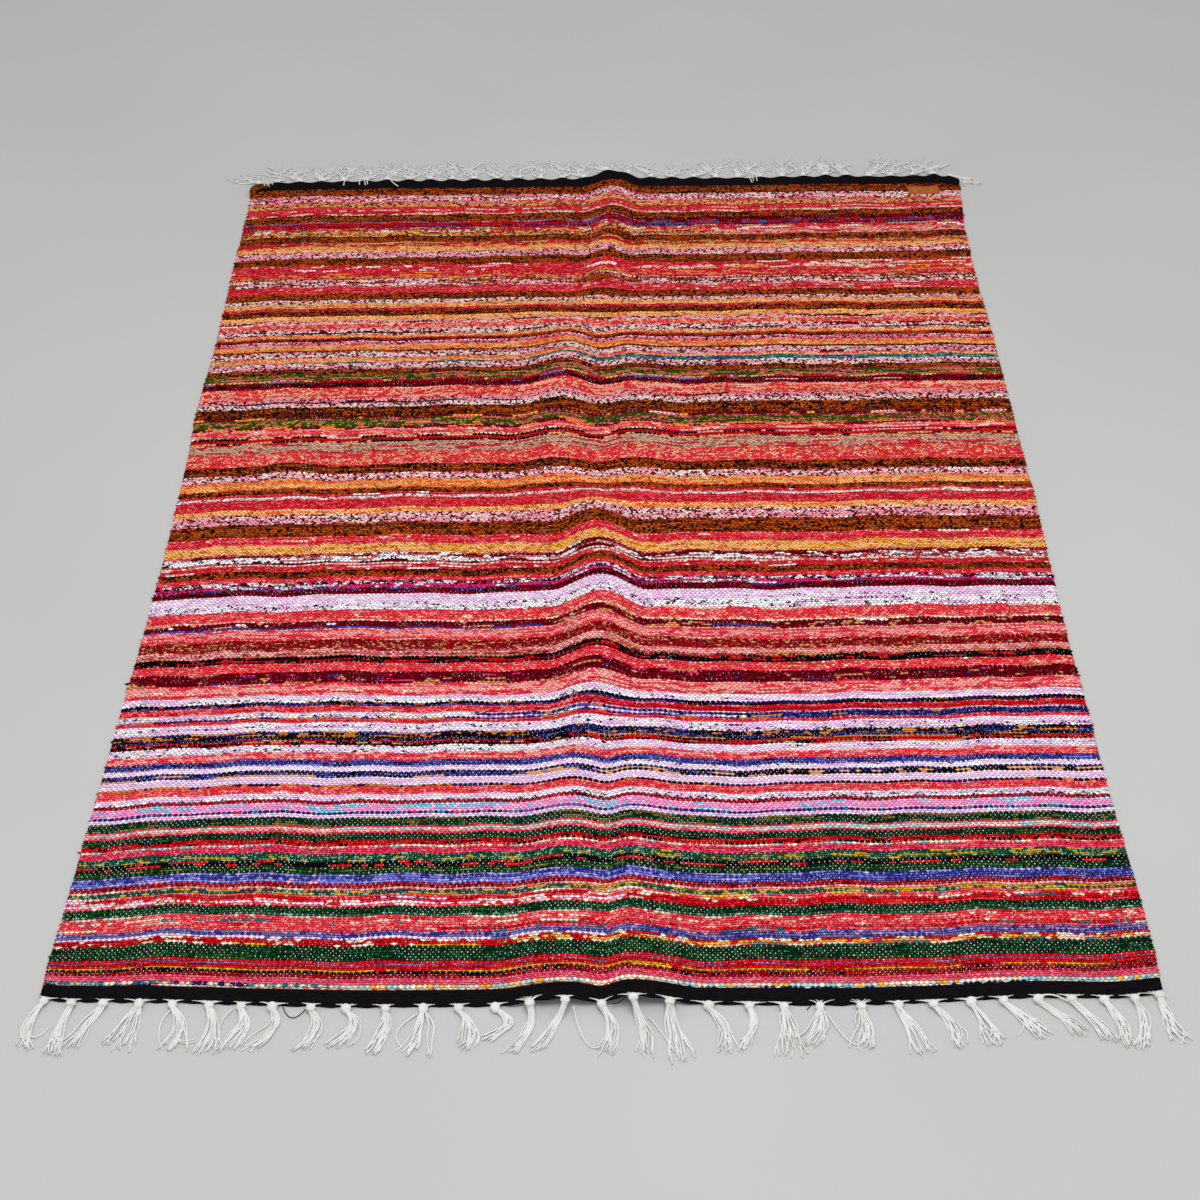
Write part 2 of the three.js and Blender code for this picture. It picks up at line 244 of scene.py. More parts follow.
floor_size = 14.0
floor_finish = mottled(
    "pale floor", linear(199, 199, 198), linear(203, 203, 202), lump=0.6, roughness=0.8, gloss=0.2)
floor_corner = np.array([(-1, -1, 0), (1, -1, 0), (1, 1, 0), (-1, 1, 0)]) * floor_size / 2
floor_mesh = bpy.data.meshes.new("floor")
floor_mesh.from_pydata(floor_corner, [], [(0, 1, 2, 3)])
add_object("floor", floor_mesh, floor_finish)

sky_strength = 0.62
sky = bpy.data.worlds.new("studio")
bpy.context.scene.world = sky
sky.use_nodes = True
sky_light = sky.node_tree.nodes["Background"]
sky_light.inputs["Color"].default_value = (1.0, 1.0, 1.0, 1.0)
sky_light.inputs["Strength"].default_value = sky_strength
bpy.context.scene.view_settings.view_transform = "Standard"

lamp_place = cloth_middle + Vector((0.1, -1.1, 3.2))
lamp_width = 1.8
lamp_power = 47.0
lamp_data = bpy.data.lights.new("window", "AREA")
lamp_data.shape = "DISK"
lamp_data.size = lamp_width
lamp_data.energy = lamp_power
lamp = bpy.data.objects.new("window", lamp_data)
lamp.rotation_euler = (cloth_middle - lamp_place).to_track_quat("-Z", "Y").to_euler()
lamp.location = lamp_place
bpy.context.collection.objects.link(lamp)


# The woven field: rag strips, chenille and loop yarns beaten onto a white cotton warp, in stripes. It is
# one closed sheet: a top with two rows of points for each pick, a plain underside, and rims.
fold_rows = table("along left left_at centre centre_at centre_half right right_at", [
    (-90, 14, -42, 0, -6, 70, 18, 38),
    (0, 14, -42, 0, -6, 70, 18, 38),
    (120, 12, -38, 0, -6, 70, 14, 44),
    (260, 13, -40, 0, -6, 70, 12, 44),
    (400, 11, -40, 1, -8, 70, 10, 42),
    (500, 3, -44, 17, -9, 74, 4, 48),
    (580, 2, -70, 32, -8, 76, 3, 70),
    (670, 2, -80, 38, -6, 80, 3, 80),
    (770, 2, -90, 35, -5, 76, 2, 80),
    (860, 0, -90, 30, -8, 72, 0, 70),
    (930, 1, -84, 25, -11, 66, 1, 50),
    (990, 7, -80, 12, -12, 62, 8, 42),
    (1050, 11, -74, 1, -10, 60, 8, 38),
    (1120, 12, -74, 0, -6, 60, 11, 38),
    (1220, 14, -70, 0, -4, 60, 7, 46),
    (1340, 21, -62, 0, 0, 60, 7, 50),
    (1450, 14, -68, 0, 0, 56, 5, 44),
    (1530, 4, -80, 1, 0, 54, 1, 44),
    (1590, 0, -80, 7, 1, 56, 0, 44),
    (1650, 0, -80, 16, 3, 56, 2, 60),
    (1760, 1, -80, 15, 6, 48, 0, 60),
    (1880, 0, -80, 17, 9, 56, 1, 60),
    (2000, 0, -80, 18, 11, 60, 1, 60),
    (2090, 0, -80, 18, 11, 60, 1, 60),
])
left_half = {"outer": 90.0, "inner": 60.0}
right_half = {"outer": 94.0, "inner": 42.0}

side_rows = table("along left right", [
    (-90, -702, 703),
    (0, -702, 703),
    (150, -700, 704),
    (320, -697, 698),
    (500, -694, 696),
    (700, -690, 692),
    (900, -690, 694),
    (1100, -694, 694),
    (1250, -700, 693),
    (1450, -697, 692),
    (1600, -700, 688),
    (1800, -702, 688),
    (1920, -704, 695),
    (2000, -704, 699),
    (2090, -704, 699),
])

end_rows = table("across near far", [
    (-700, 0, -12),
    (-670, 4, -4),
    (-560, 6, 0),
    (-420, 11, 2),
    (-280, 15, 1),
    (-150, 14, 2),
    (0, 12, 3),
    (150, 12, 1),
    (280, 14, 0),
    (400, 11, 3),
    (490, 6, 2),
    (560, 3, 0),
    (640, 5, 2),
    (670, 2, 0),
    (700, -3, -20),
])
bow_reach = {"near": 260.0, "far": 50.0}


def through(rows, key, name, at):
    """One column of a table at any station, on a smooth curve through its rows: between two rows it is
    the cubic that keeps both values and both slopes, where a row's slope is its neighbours' rise over
    their run."""
    place = rows[key]
    value = rows[name]
    slope = np.diff(value[[0, 1]]) / np.diff(place[[0, 1]])
    inner = (value[2:] - value[:-2]) / (place[2:] - place[:-2])
    slope = np.concatenate([slope, inner, np.diff(value[-2:]) / np.diff(place[-2:])])
    at = np.clip(at, place[0], place[-1])
    i = np.clip(np.searchsorted(place, at, side="right") - 1, 0, len(place) - 2)
    span = place[i + 1] - place[i]
    t = (at - place[i]) / span
    rise = t * t * (3 - 2 * t)
    leaving = t * (1 - t) ** 2 * span * slope[i]
    arriving = t * t * (1 - t) * span * slope[i + 1]
    return value[i] * (1 - rise) + value[i + 1] * rise + leaving - arriving


def ridge(distance):
    """A soft ridge of height 1 that ends at a distance of 1 on both sides: (1 - d * d) squared."""
    return np.clip(1 - distance * distance, 0, None) ** 2


def fold_height(across, along):
    """Height of the cloth's underside over the floor: a left shoulder, a centre ridge and a right
    shoulder, each a soft ridge whose height and place follow the table along the cloth."""
    at = {name: through(fold_rows, "along", name, along) for name in fold_rows.dtype.names[1:]}
    from_left = across - at["left_at"]
    from_right = across - at["right_at"]
    left = ridge(from_left / np.where(from_left < 0, left_half["outer"], left_half["inner"]))
    right_one = ridge(from_right / np.where(from_right > 0, right_half["outer"], right_half["inner"]))
    centre = ridge((across - at["centre_at"]) / at["centre_half"])
    heights = [np.clip(at[name], 0, None) for name in ("left", "centre", "right")]
    return heights[0] * left + heights[1] * centre + heights[2] * right_one


def on_cloth(across, along):
    """Points of the cloth's underside, in metres: across is stretched to the selvedges' table, along
    gives way to the bows of the two cut ends, and the height is that of the fold."""
    across, along = np.broadcast_arrays(across, along)
    left_reach = -through(side_rows, "along", "left", along)
    right_reach = through(side_rows, "along", "right", along)
    reach = np.where(across < 0, left_reach, right_reach) / (cloth_width / 2)
    near_share = np.clip(1 - np.clip(along, 0, None) / bow_reach["near"], 0, None)
    far_share = np.clip(1 - np.clip(cloth_length - along, 0, None) / bow_reach["far"], 0, None)
    near = through(end_rows, "across", "near", across) * near_share
    far = through(end_rows, "across", "far", across) * far_share
    points = np.stack([
        across * reach,
        along - cloth_length / 2 - near + far,
        fold_height(across, along),
    ], axis=-1)
    return points * MM + np.array(cloth_middle)


# How far each stripe lies farther along on the right than on the left, and how far its last stretch
# before the right selvedge climbs on top of that.
lean_rows = table("along shift climb", [
    (0, 0, 0),
    (120, -1, 3),
    (300, 2, 5),
    (600, 0, 8),
    (700, 0, 3),
    (750, 11, -1),
    (800, 10, -1),
    (870, 3, 1),
    (960, 12, -2),
    (1050, 4, 0),
    (1150, 11, 1),
    (1200, 3, 0),
    (1250, 11, 0),
    (1310, 5, -1),
    (1400, 6, -3),
    (1460, 9, -3),
    (1530, 9, -4),
    (1600, 3, -2),
    (1650, 1, 2),
    (1730, 5, 5),
    (1790, -3, 7),
    (1860, 4, 6),
    (1930, -3, 3),
    (2000, 0, 0),
])
lean_from = -540.0
lean_to = 470.0
climb_from = 420.0
curl_back = {"from": -560.0, "depth": 10.0, "power": 1.3}
lump = {"across": -532.0, "along": 1075.0, "width": 60.0, "length": 90.0, "rise": 8.0}
slow_waves = (820, 460, 260, 150, 95)
slow_strength = 2.4
held_over = 90.0
dice = np.random.default_rng(11)


def waves(across, along, sizes, strength):
    """A sum of slow waves over the cloth, one for each size: each is the sine of a random phase plus
    across over its size plus along over four times its size."""
    total = 0.0
    for size in sizes:
        phase, tilt = dice.uniform(0, 2 * math.pi, 2)
        total = total + np.sin(phase + 2 * math.pi * (across / size + along / (4 * size) * math.sin(tilt)))
    return total * strength / math.sqrt(len(sizes))


def wander(across, along):
    """How far the weft strays along the cloth: a lean that grows from left to right, a climb at the
    right selvedge, a curl back at the left one, a local lump and slow waves, all of it dying away
    towards the two headings."""
    share = np.clip((across - lean_from) / (lean_to - lean_from), 0, 1)
    lean = through(lean_rows, "along", "shift", along) * share * share * (3 - 2 * share)
    last_share = np.clip((across - climb_from) / (cloth_width / 2 - climb_from), 0, 1)
    climb = through(lean_rows, "along", "climb", along) * last_share
    first_share = np.clip((curl_back["from"] - across) / (cloth_width / 2 + curl_back["from"]), 0, 1)
    curl = curl_back["depth"] * first_share ** curl_back["power"]
    bump = lump["rise"] * ridge((across - lump["across"]) / lump["width"])
    bump = bump * ridge((along - lump["along"]) / lump["length"])
    slow = waves(across, along, slow_waves, slow_strength)
    held = np.clip(np.minimum(along, cloth_length - along) / held_over, 0, 1)
    return (lean + climb - curl + bump + slow) * held


# How each kind of yarn weaves: the depth of one pick in mm, how full it stands from 0 to 1, how much
# of the white warp shows over it, and how rough its fibres are.
kinds = table("pitch full dots fuzz", [
    (3.7, 0.35, 0.35, 0.45),
    (3.7, 0.25, 0.80, 0.25),
    (4.3, 1.00, 0.14, 0.95),
    (4.2, 0.85, 0.04, 0.85),
    (3.8, 0.15, 0.25, 0.35),
])
rag, thin, chenille, loop, cotton = range(5)

# Each yarn has its colour, its kind, and the share and colour of the flecks spun or twisted into it.
yarns = {
    "aqua": ((140, 200, 200), rag, 0.34, (226, 226, 206)),
    "baby_pink": ((250, 150, 205), rag, 0.25, (255, 195, 225)),
    "black": ((10, 8, 9), thin, 0.12, (60, 30, 35)),
    "bottle": ((6, 44, 22), thin, 0.12, (22, 92, 58)),
    "brown": ((180, 78, 18), chenille, 0.38, (28, 8, 4)),
    "coral": ((230, 50, 68), rag, 0.28, (252, 142, 138)),
    "coral_marl": ((228, 44, 54), rag, 0.30, (244, 184, 148)),
    "cream": ((240, 222, 200), cotton, 0.36, (220, 70, 70)),
    "crimson": ((208, 24, 46), rag, 0.24, (240, 104, 100)),
    "dark_brown": ((128, 50, 18), chenille, 0.48, (18, 6, 4)),
    "dark_red": ((146, 6, 22), thin, 0.22, (190, 30, 40)),
    "dusty_pink": ((212, 100, 106), cotton, 0.34, (120, 22, 34)),
    "emerald": ((8, 76, 54), thin, 0.12, (140, 196, 160)),
    "forest": ((20, 70, 20), thin, 0.22, (110, 120, 20)),
    "gold": ((236, 172, 30), cotton, 0.16, (190, 90, 30)),
    "hot_coral": ((218, 34, 80), rag, 0.24, (255, 110, 135)),
    "lilac": ((242, 194, 236), cotton, 0.34, (252, 234, 248)),
    "lilac_pink": ((250, 212, 242), cotton, 0.26, (254, 232, 248)),
    "loop_pink": ((251, 170, 184), loop, 0.37, (108, 18, 22)),
    "loop_rose": ((238, 128, 156), loop, 0.36, (100, 12, 28)),
    "loop_white": ((252, 226, 220), loop, 0.42, (104, 24, 22)),
    "magenta": ((220, 46, 116), rag, 0.24, (100, 10, 50)),
    "maroon": ((98, 0, 16), thin, 0.18, (150, 16, 40)),
    "moss": ((36, 80, 18), rag, 0.20, (200, 146, 50)),
    "navy": ((26, 24, 92), thin, 0.20, (80, 84, 170)),
    "ochre": ((205, 155, 15), rag, 0.20, (120, 100, 20)),
    "olive": ((104, 88, 22), rag, 0.40, (120, 30, 32)),
    "orange": ((252, 144, 68), cotton, 0.30, (220, 50, 46)),
    "orange_brown": ((214, 128, 34), cotton, 0.34, (50, 20, 20)),
    "pale_pink": ((240, 168, 166), rag, 0.34, (214, 84, 90)),
    "pepper": ((247, 244, 247), cotton, 0.19, (16, 14, 18)),
    "periwinkle": ((104, 110, 204), rag, 0.30, (180, 170, 230)),
    "plum": ((74, 12, 20), loop, 0.20, (200, 130, 150)),
    "red": ((206, 16, 26), rag, 0.24, (152, 0, 14)),
    "rose": ((224, 62, 98), rag, 0.26, (240, 120, 140)),
    "royal": ((48, 48, 138), thin, 0.14, (110, 116, 206)),
    "salmon": ((255, 170, 164), rag, 0.24, (238, 72, 88)),
    "sand": ((222, 160, 100), cotton, 0.34, (160, 46, 36)),
    "sky": ((90, 205, 235), rag, 0.25, (190, 230, 240)),
    "speckle": ((238, 226, 234), cotton, 0.50, (18, 10, 16)),
    "straw": ((252, 190, 120), cotton, 0.24, (196, 84, 40)),
    "straw_marl": ((236, 170, 98), cotton, 0.36, (58, 34, 16)),
    "tan": ((206, 142, 84), cotton, 0.34, (110, 30, 26)),
    "taupe": ((208, 164, 140), cotton, 0.22, (158, 76, 66)),
    "teal": ((14, 108, 110), rag, 0.25, (160, 170, 160)),
    "turquoise": ((14, 112, 132), rag, 0.36, (206, 206, 186)),
    "tweed": ((140, 5, 14), rag, 0.21, (208, 146, 104)),
    "violet": ((92, 92, 150), rag, 0.30, (180, 140, 200)),
    "white": ((240, 238, 236), cotton, 0.12, (150, 140, 160)),
}

# The weaver's chart. Each stripe has the place along the cloth where it ends, its yarns with their
# shares, and, where the weft was joined on the way, the yarns that take over on the right.
stripes = [
    (24.5, "cream 4 gold 3 navy 2"),
    (30, "turquoise 4 cream 3 navy 2", "cream 4 aqua 3 gold 2"),
    (39.5, "rose 9 coral 1"),
    (49, "dark_red 5 black 3 gold 1"),
    (52, "ochre 5 dark_red 4 red 2"),
    (59, "red 9 crimson 2"),
    (60.5, "violet 8 red 2"),
    (65.5, "red 9 crimson 2"),
    (88, "bottle 9 forest 2"),
    (98.5, "red 4 cream 2 gold 2 turquoise 1"),
    (110, "violet 5 royal 4 lilac 1"),
    (135, "coral 5 red 2 cream 2 turquoise 1"),
    (139.5, "emerald 8 bottle 2"),
    (149.5, "bottle 9 forest 2"),
    (169, "red 3 coral 3 cream 2 turquoise 1 lilac 1 gold 1"),
    (176, "emerald 7 ochre 2"),
    (180, "pale_pink 7 cream 2"),
    (187.5, "dark_red 8 maroon 2"),
    (202.5, "royal 6 periwinkle 3 salmon 1"),
    (214.5, "bottle 9 forest 2"),
    (223, "black 6 red 3"),
    (236, "emerald 7 ochre 2"),
    (246, "hot_coral 9 coral 2"),
    (250, "cream 4 aqua 3 salmon 3"),
    (259.5, "red 7 black 2"),
    (270.5, "bottle 9 forest 2"),
    (273.5, "hot_coral 9 coral 2"),
    (281, "aqua 4 salmon 3 pale_pink 3"),
    (284, "hot_coral 9 coral 2"),
    (299, "bottle 7 olive 3"),
    (306, "lilac 8 white 1"),
    (310, "navy 4 violet 3 red 2"),
    (325, "baby_pink 6 sky 3"),
    (331.5, "dark_red 8 maroon 2"),
    (342.5, "lilac 4 pepper 5"),
    (356.5, "coral 6 coral_marl 3 cream 1"),
    (360.5, "black 4 orange_brown 3 navy 2"),
    (374.5, "lilac_pink 8 lilac 2"),
    (386, "black 4 navy 3 sand 2"),
    (396, "lilac 5 pepper 4"),
    (407, "royal 6 navy 2 periwinkle 2"),
    (422, "coral 5 salmon 4"),
    (436, "lilac 5 pepper 4"),
    (446, "red 5 black 3 tan 2"),
    (463, "black 4 navy 3 orange_brown 3"),
    (481, "lilac 5 pepper 4"),
    (488, "crimson 5 coral 4"),
    (491, "navy 5 orange_brown 3"),
    (500, "lilac 5 pepper 4", "navy 5 orange_brown 3"),
    (502, "lilac 5 pepper 4"),
    (515, "coral 5 red 5"),
    (523, "black 5 navy 3 brown 2"),
    (537, "lilac 5 pepper 4"),
    (562.5, "coral 5 salmon 5 cream 1"),
    (586.5, "maroon 7 royal 2 magenta 1 tan 2"),
    (605.5, "coral 6 coral_marl 3 cream 1"),
    (619.5, "black 7 red 2"),
    (635.5, "pale_pink 4 dusty_pink 4 tan 2"),
    (655.5, "tweed 8 dark_red 2"),
    (663.5, "coral 8 salmon 2"),
    (680.5, "salmon 7 coral 2"),
    (696.5, "maroon 7 royal 2 tan 2 pepper 1"),
    (700, "cream 5 pale_pink 4"),
    (722, "coral 6 coral_marl 3 cream 1"),
    (738, "pepper 6 lilac 4"),
    (757.5, "lilac 7 pepper 2"),
    (768.5, "maroon 7 black 2"),
    (772, "maroon 8 royal 2"),
    (780, "magenta 5 speckle 4 royal 1"),
    (788.5, "speckle 6 magenta 3"),
    (799.5, "coral 5 crimson 4"),
    (815, "brown 6 dark_brown 4"),
    (828, "crimson 8 pepper 1"),
    (832, "cream 9 pepper 1"),
    (856, "dusty_pink 4 maroon 3 pepper 2"),
    (879, "straw 7 gold 2"),
    (899, "crimson 5 coral 4 cream 1"),
    (930, "brown 7 dark_brown 3"),
    (955, "loop_pink 5 loop_white 4 loop_rose 2"),
    (968, "straw 6 orange 3"),
    (993, "crimson 7 coral 2"),
    (1000, "cream 4 pepper 3 pale_pink 3"),
    (1007, "crimson 8 pepper 1"),
    (1020, "brown 7 dark_brown 3"),
    (1042, "straw 5 orange 4"),
    (1060, "loop_pink 5 loop_white 4 loop_rose 2"),
    (1083, "dark_brown 5 brown 5"),
    (1117, "coral_marl 6 coral 3"),
    (1144.5, "taupe 7 crimson 2"),
    (1149.5, "sand 5 black 4"),
    (1157, "red 7 crimson 2"),
    (1162, "black 4 pale_pink 3"),
    (1167, "cream 4 sand 4", "red 6 crimson 2"),
    (1182.5, "coral 6 salmon 3 cream 2"),
    (1190.5, "orange 5 maroon 4"),
    (1212.5, "moss 6 dusty_pink 4 olive 2 orange 1"),
    (1218, "maroon 5 orange 3 pale_pink 2"),
    (1244.5, "dark_brown 5 brown 5"),
    (1256, "loop_white 6 loop_pink 2"),
    (1269, "loop_pink 5 loop_rose 3 plum 2"),
    (1302.5, "coral_marl 7 salmon 2"),
    (1314, "maroon 5 black 3 pale_pink 1"),
    (1321, "maroon 6 periwinkle 2 lilac 1", "maroon 6 black 2"),
    (1326.5, "red 5 sand 4"),
    (1344, "moss 6 dusty_pink 4 olive 2 orange 1"),
    (1358, "brown 7 dark_brown 3"),
    (1374, "loop_pink 5 loop_white 4 loop_rose 2"),
    (1380, "teal 4 loop_pink 3 brown 2", "teal 6 royal 3"),
    (1386, "straw 7 orange 2", "teal 6 royal 3"),
    (1391, "straw 7 orange 2"),
    (1394, "coral 8 salmon 2"),
    (1411, "loop_pink 5 loop_white 4 plum 1"),
    (1416, "brown 7 dark_brown 3"),
    (1431, "straw 6 orange 3"),
    (1434, "coral 8 salmon 2"),
    (1444, "loop_pink 5 loop_rose 4"),
    (1452, "dark_brown 6 brown 4"),
    (1456, "crimson 7 coral 2"),
    (1464, "straw 6 orange 3"),
    (1484, "loop_white 5 plum 2 loop_pink 3"),
    (1499, "coral_marl 6 coral 3"),
    (1502, "cream 9 pepper 1"),
    (1510, "loop_pink 5 plum 3"),
    (1525, "straw 8 orange 1"),
    (1542, "dark_brown 6 brown 3"),
    (1552, "crimson 6 dark_red 3"),
    (1566, "straw 8 orange 1"),
    (1578, "loop_pink 5 loop_white 4 plum 1"),
    (1600, "brown 7 dark_brown 3"),
    (1623.5, "crimson 5 coral 4 cream 1"),
    (1648.5, "loop_pink 4 loop_white 4 brown 2"),
    (1658.5, "crimson 4 tan 4 gold 2"),
    (1670.5, "crimson 7 orange 2"),
    (1683, "crimson 8 pepper 1", "cream 4 gold 2 crimson 3"),
    (1696.5, "crimson 8 pepper 1", "crimson 5 cream 3 pepper 1"),
    (1721.5, "brown 7 dark_brown 3"),
    (1743.5, "loop_pink 5 loop_white 4 loop_rose 2"),
    (1760.5, "straw 8 orange 2"),
    (1776.5, "sand 5 crimson 4"),
    (1798.5, "brown 7 dark_brown 3"),
    (1815, "straw_marl 5 tan 3 crimson 2", "pale_pink 4 tan 3 crimson 3"),
    (1830, "sand 4 crimson 5 pepper 1"),
    (1835, "navy 4 maroon 4"),
    (1847, "red 8 crimson 2", "red 4 maroon 4 violet 2"),
    (1850, "violet 6 red 2", "maroon 7 black 2"),
    (1858, "brown 7 dark_brown 3", "maroon 7 black 2"),
    (1877, "brown 7 dark_brown 3"),
    (1885, "cream 5 crimson 4"),
    (1893, "crimson 8 coral 2"),
    (1897, "crimson 5 cream 4"),
    (1908, "crimson 8 coral 2"),
    (1923, "straw_marl 6 pale_pink 1"),
    (1929, "coral 8 salmon 2"),
    (1951, "loop_pink 5 loop_white 4 loop_rose 2"),
    (1977.8, "brown 7 dark_brown 3"),
]
field_start = 22.2
join_spread = 170.0
fluffy = 0.6
tick_fade = (380.0, 560.0)
tick_share = (1.0, 0.25)
lead_power = 2.5
most_taken = 0.38


def read_mix(words):
    """A stripe's yarns and their shares, from its words."""
    parts = words.split()
    shares = np.array([float(part) for part in parts[1::2]])
    return parts[0::2], shares / shares.sum()


def draw_pick(words):
    """The yarns of one pick: a leading one, one that takes over for a few humps at a time and one that
    takes over for long stretches, both drawn by the stripe's shares, and the leading yarn's flecks. In
    smooth yarns the mean of two chances decides on a fleck, so the limit is the root of half the share."""
    names, shares = read_mix(words)
    lead = dice.choice(len(names), p=shares ** lead_power / (shares ** lead_power).sum())
    others = [lead, lead]
    if len(names) > 1:
        rest = np.where(np.arange(len(names)) == lead, 0, shares)
        others = dice.choice(len(names), size=2, p=rest / rest.sum())
    short, long = np.minimum(1, 2 * shares[others] / shares[lead]) * dice.uniform(0, most_taken, 2)
    colour, kind, fleck_share, fleck_colour = yarns[names[lead]]
    look = kinds[kind]
    if look["fuzz"] < fluffy:
        fleck_share = math.sqrt(fleck_share / 2)
    second, third = (linear(*yarns[names[i]][0])[:3] for i in others)
    return [
        (*linear(*colour)[:3], short),
        (*second, long),
        (*third, fleck_share),
        linear(*fleck_colour),
        (look["dots"], look["fuzz"], look["full"], 1.0),
    ]


# Every pick in turn: where it starts, and its yarns on the left and on the right.
pick_edges = [field_start]
pick_yarns = []
for end, *sides in stripes:
    kind = kinds[yarns[read_mix(sides[0])[0][0]][1]]
    depth = end - pick_edges[-1]
    count = max(1, round(depth / kind["pitch"]))
    if end == stripes[-1][0]:
        count += (len(pick_yarns) + count) % 2
    pick_edges.extend(np.linspace(pick_edges[-1], end, count + 1)[1:])
    for _ in range(count):
        pick_yarns.append([draw_pick(sides[0]), draw_pick(sides[-1])])
pick_edges = np.array(pick_edges)
pick_yarns = np.array(pick_yarns)
pick_yarns[:, :, 4, 0] *= np.interp(pick_edges[:-1], tick_fade, tick_share)[:, None]
pick_count = len(pick_yarns)
pick_join = dice.normal(0, join_spread, pick_count)

# The columns of points across the cloth: a rounded selvedge, and small steps over the fold.
selvedge = np.array([700.0, 699.3, 697.2, 693.0])
selvedge_drop = np.array([2.3, 0.9, 0.25, 0.0])
fold_half = 133.0
fold_columns = 38
plain_columns = 22
middle_part = np.linspace(-fold_half, fold_half, fold_columns + 1)
side_part = np.linspace(-selvedge[-1], -fold_half, plain_columns + 1)[1:-1]
columns = np.concatenate([-selvedge, side_part, middle_part, -side_part[::-1], selvedge[::-1]])
edge_drop = np.interp(np.abs(columns), selvedge[::-1], selvedge_drop[::-1])
row_step = 4
column_step = 4
underside = 0.2
tuck = 0.998


def rim(fine, coarse):
    """Triangles between a chain of points and one with fewer, side by side: fans from each coarse point
    to the fine points nearest it, and between two fans a triangle on the coarse side."""
    share = (len(fine) - 1) // (len(coarse) - 1)
    step = np.arange(len(fine) - 1)
    fans = np.stack([fine[:-1], fine[1:], coarse[(step + share // 2) // share]], axis=1)
    middles = fine[share // 2::share][:len(coarse) - 1]
    bridges = np.stack([middles, coarse[1:], coarse[:-1]], axis=1)
    return np.concatenate([fans, bridges])


def fill_mesh(name, points, faces, maps):
    """A mesh from points, groups of faces with equal corner counts, and maps with one UV for each
    corner."""
    mesh = bpy.data.meshes.new(name)
    corners = np.concatenate([group.ravel() for group in faces]).astype(np.int32)
    totals = np.concatenate([np.full(len(group), group.shape[1]) for group in faces])
    starts = np.concatenate([[0], np.cumsum(totals)[:-1]]).astype(np.int32)
    mesh.vertices.add(len(points))
    mesh.vertices.foreach_set("co", np.ascontiguousarray(points, dtype=np.float32).ravel())
    mesh.loops.add(len(corners))
    mesh.loops.foreach_set("vertex_index", corners)
    mesh.polygons.add(len(totals))
    mesh.polygons.foreach_set("loop_start", starts)
    for map_name, values in maps.items():
        layer = mesh.uv_layers.new(name=map_name)
        layer.data.foreach_set("uv", np.ascontiguousarray(values, dtype=np.float32).ravel())
    mesh.update(calc_edges=True)
    mesh.validate()
    mesh.shade_smooth()
    return mesh


def weave_places(across, pitch, row_count):
    """Each point's place in the weave: its hump, counted from 2 at the left selvedge, and its pick."""
    humps = (across + cloth_width / 2) / pitch + 2
    return np.stack(np.broadcast_arrays(humps, np.arange(row_count)[:, None] / 2), axis=-1)


def closed_sheet(name, across, along, raised, height, weave):
    """A closed sheet of cloth. The top is the grid of places across and along it, raised off the floor
    and by the cloth's height. The underside has only every row_step-th row and column_step-th column of
    the grid, and four rims join the two. weave holds each place's hump and pick."""
    top = on_cloth(across, along)
    top[..., 2] += (raised + height) * MM
    spare = (slice(None, None, row_step), slice(None, None, column_step))
    under = on_cloth(across[spare] * tuck, along[spare])
    under[..., 2] += (raised[spare] + underside) * MM
    upper = np.arange(top[..., 0].size).reshape(across.shape)
    lower = upper.size + np.arange(under[..., 0].size).reshape(under.shape[:2])
    skin = np.stack([upper[:-1, :-1], upper[:-1, 1:], upper[1:, 1:], upper[1:, :-1]], axis=-1)
    back = np.stack([lower[:-1, :-1], lower[1:, :-1], lower[1:, 1:], lower[:-1, 1:]], axis=-1)
    rims = np.concatenate([
        rim(upper[:, 0], lower[:, 0]),
        rim(upper[-1], lower[-1]),
        rim(upper[:, -1], lower[:, -1])[:, ::-1],
        rim(upper[0], lower[0])[:, ::-1],
    ])
    points = np.concatenate([top.reshape(-1, 3), under.reshape(-1, 3)])
    places = np.concatenate([weave.reshape(-1, 2), weave[spare].reshape(-1, 2)])
    faces = [skin.reshape(-1, 4), back.reshape(-1, 4), rims]
    corners = np.concatenate([group.ravel() for group in faces])
    mesh = fill_mesh(name, points, faces, {"weave": places[corners]})
    return mesh, faces, places


hump_pitch = 7.3
cloth_top = 4.25
valley_drop = 1.15
full_drop = 0.55
full_rise = 0.25
soft_drop = 0.5
dip_waves = (310, 190, 90, 61)
slub_depth = 0.5
slub_length = (110, 240)
turn_waves = (23, 51, 130)
loop_from = 686.0
loop_width = 12.0
left_side, right_side = 0, 1
slack_turns = (
    (left_side, 250, 5.0),
    (left_side, 373, 2.5),
    (left_side, 578, 7.0),
    (right_side, 304, 3.0),
    (right_side, 1848, 4.0),
)

rows = np.empty(2 * pick_count + 1)
rows[0::2] = pick_edges
rows[1::2] = (pick_edges[:-1] + pick_edges[1:]) / 2
full = pick_yarns[:, 0, 4, 2]
drop = np.empty(len(rows))
drop[1::2] = full_drop * (1 - full)
fuller = np.concatenate([full[:1], np.maximum(full[:-1], full[1:]), full[-1:]])
drop[0::2] = valley_drop - full_rise * fuller
across_grid, along_grid = np.meshgrid(columns, rows)
dips = 0.5 + 0.5 * waves(across_grid, along_grid * 6, dip_waves, 0.6)
height = cloth_top - drop[:, None] - edge_drop[None, :] - soft_drop * np.clip(dips, 0, 1)
along_grid = along_grid + wander(across_grid, along_grid)

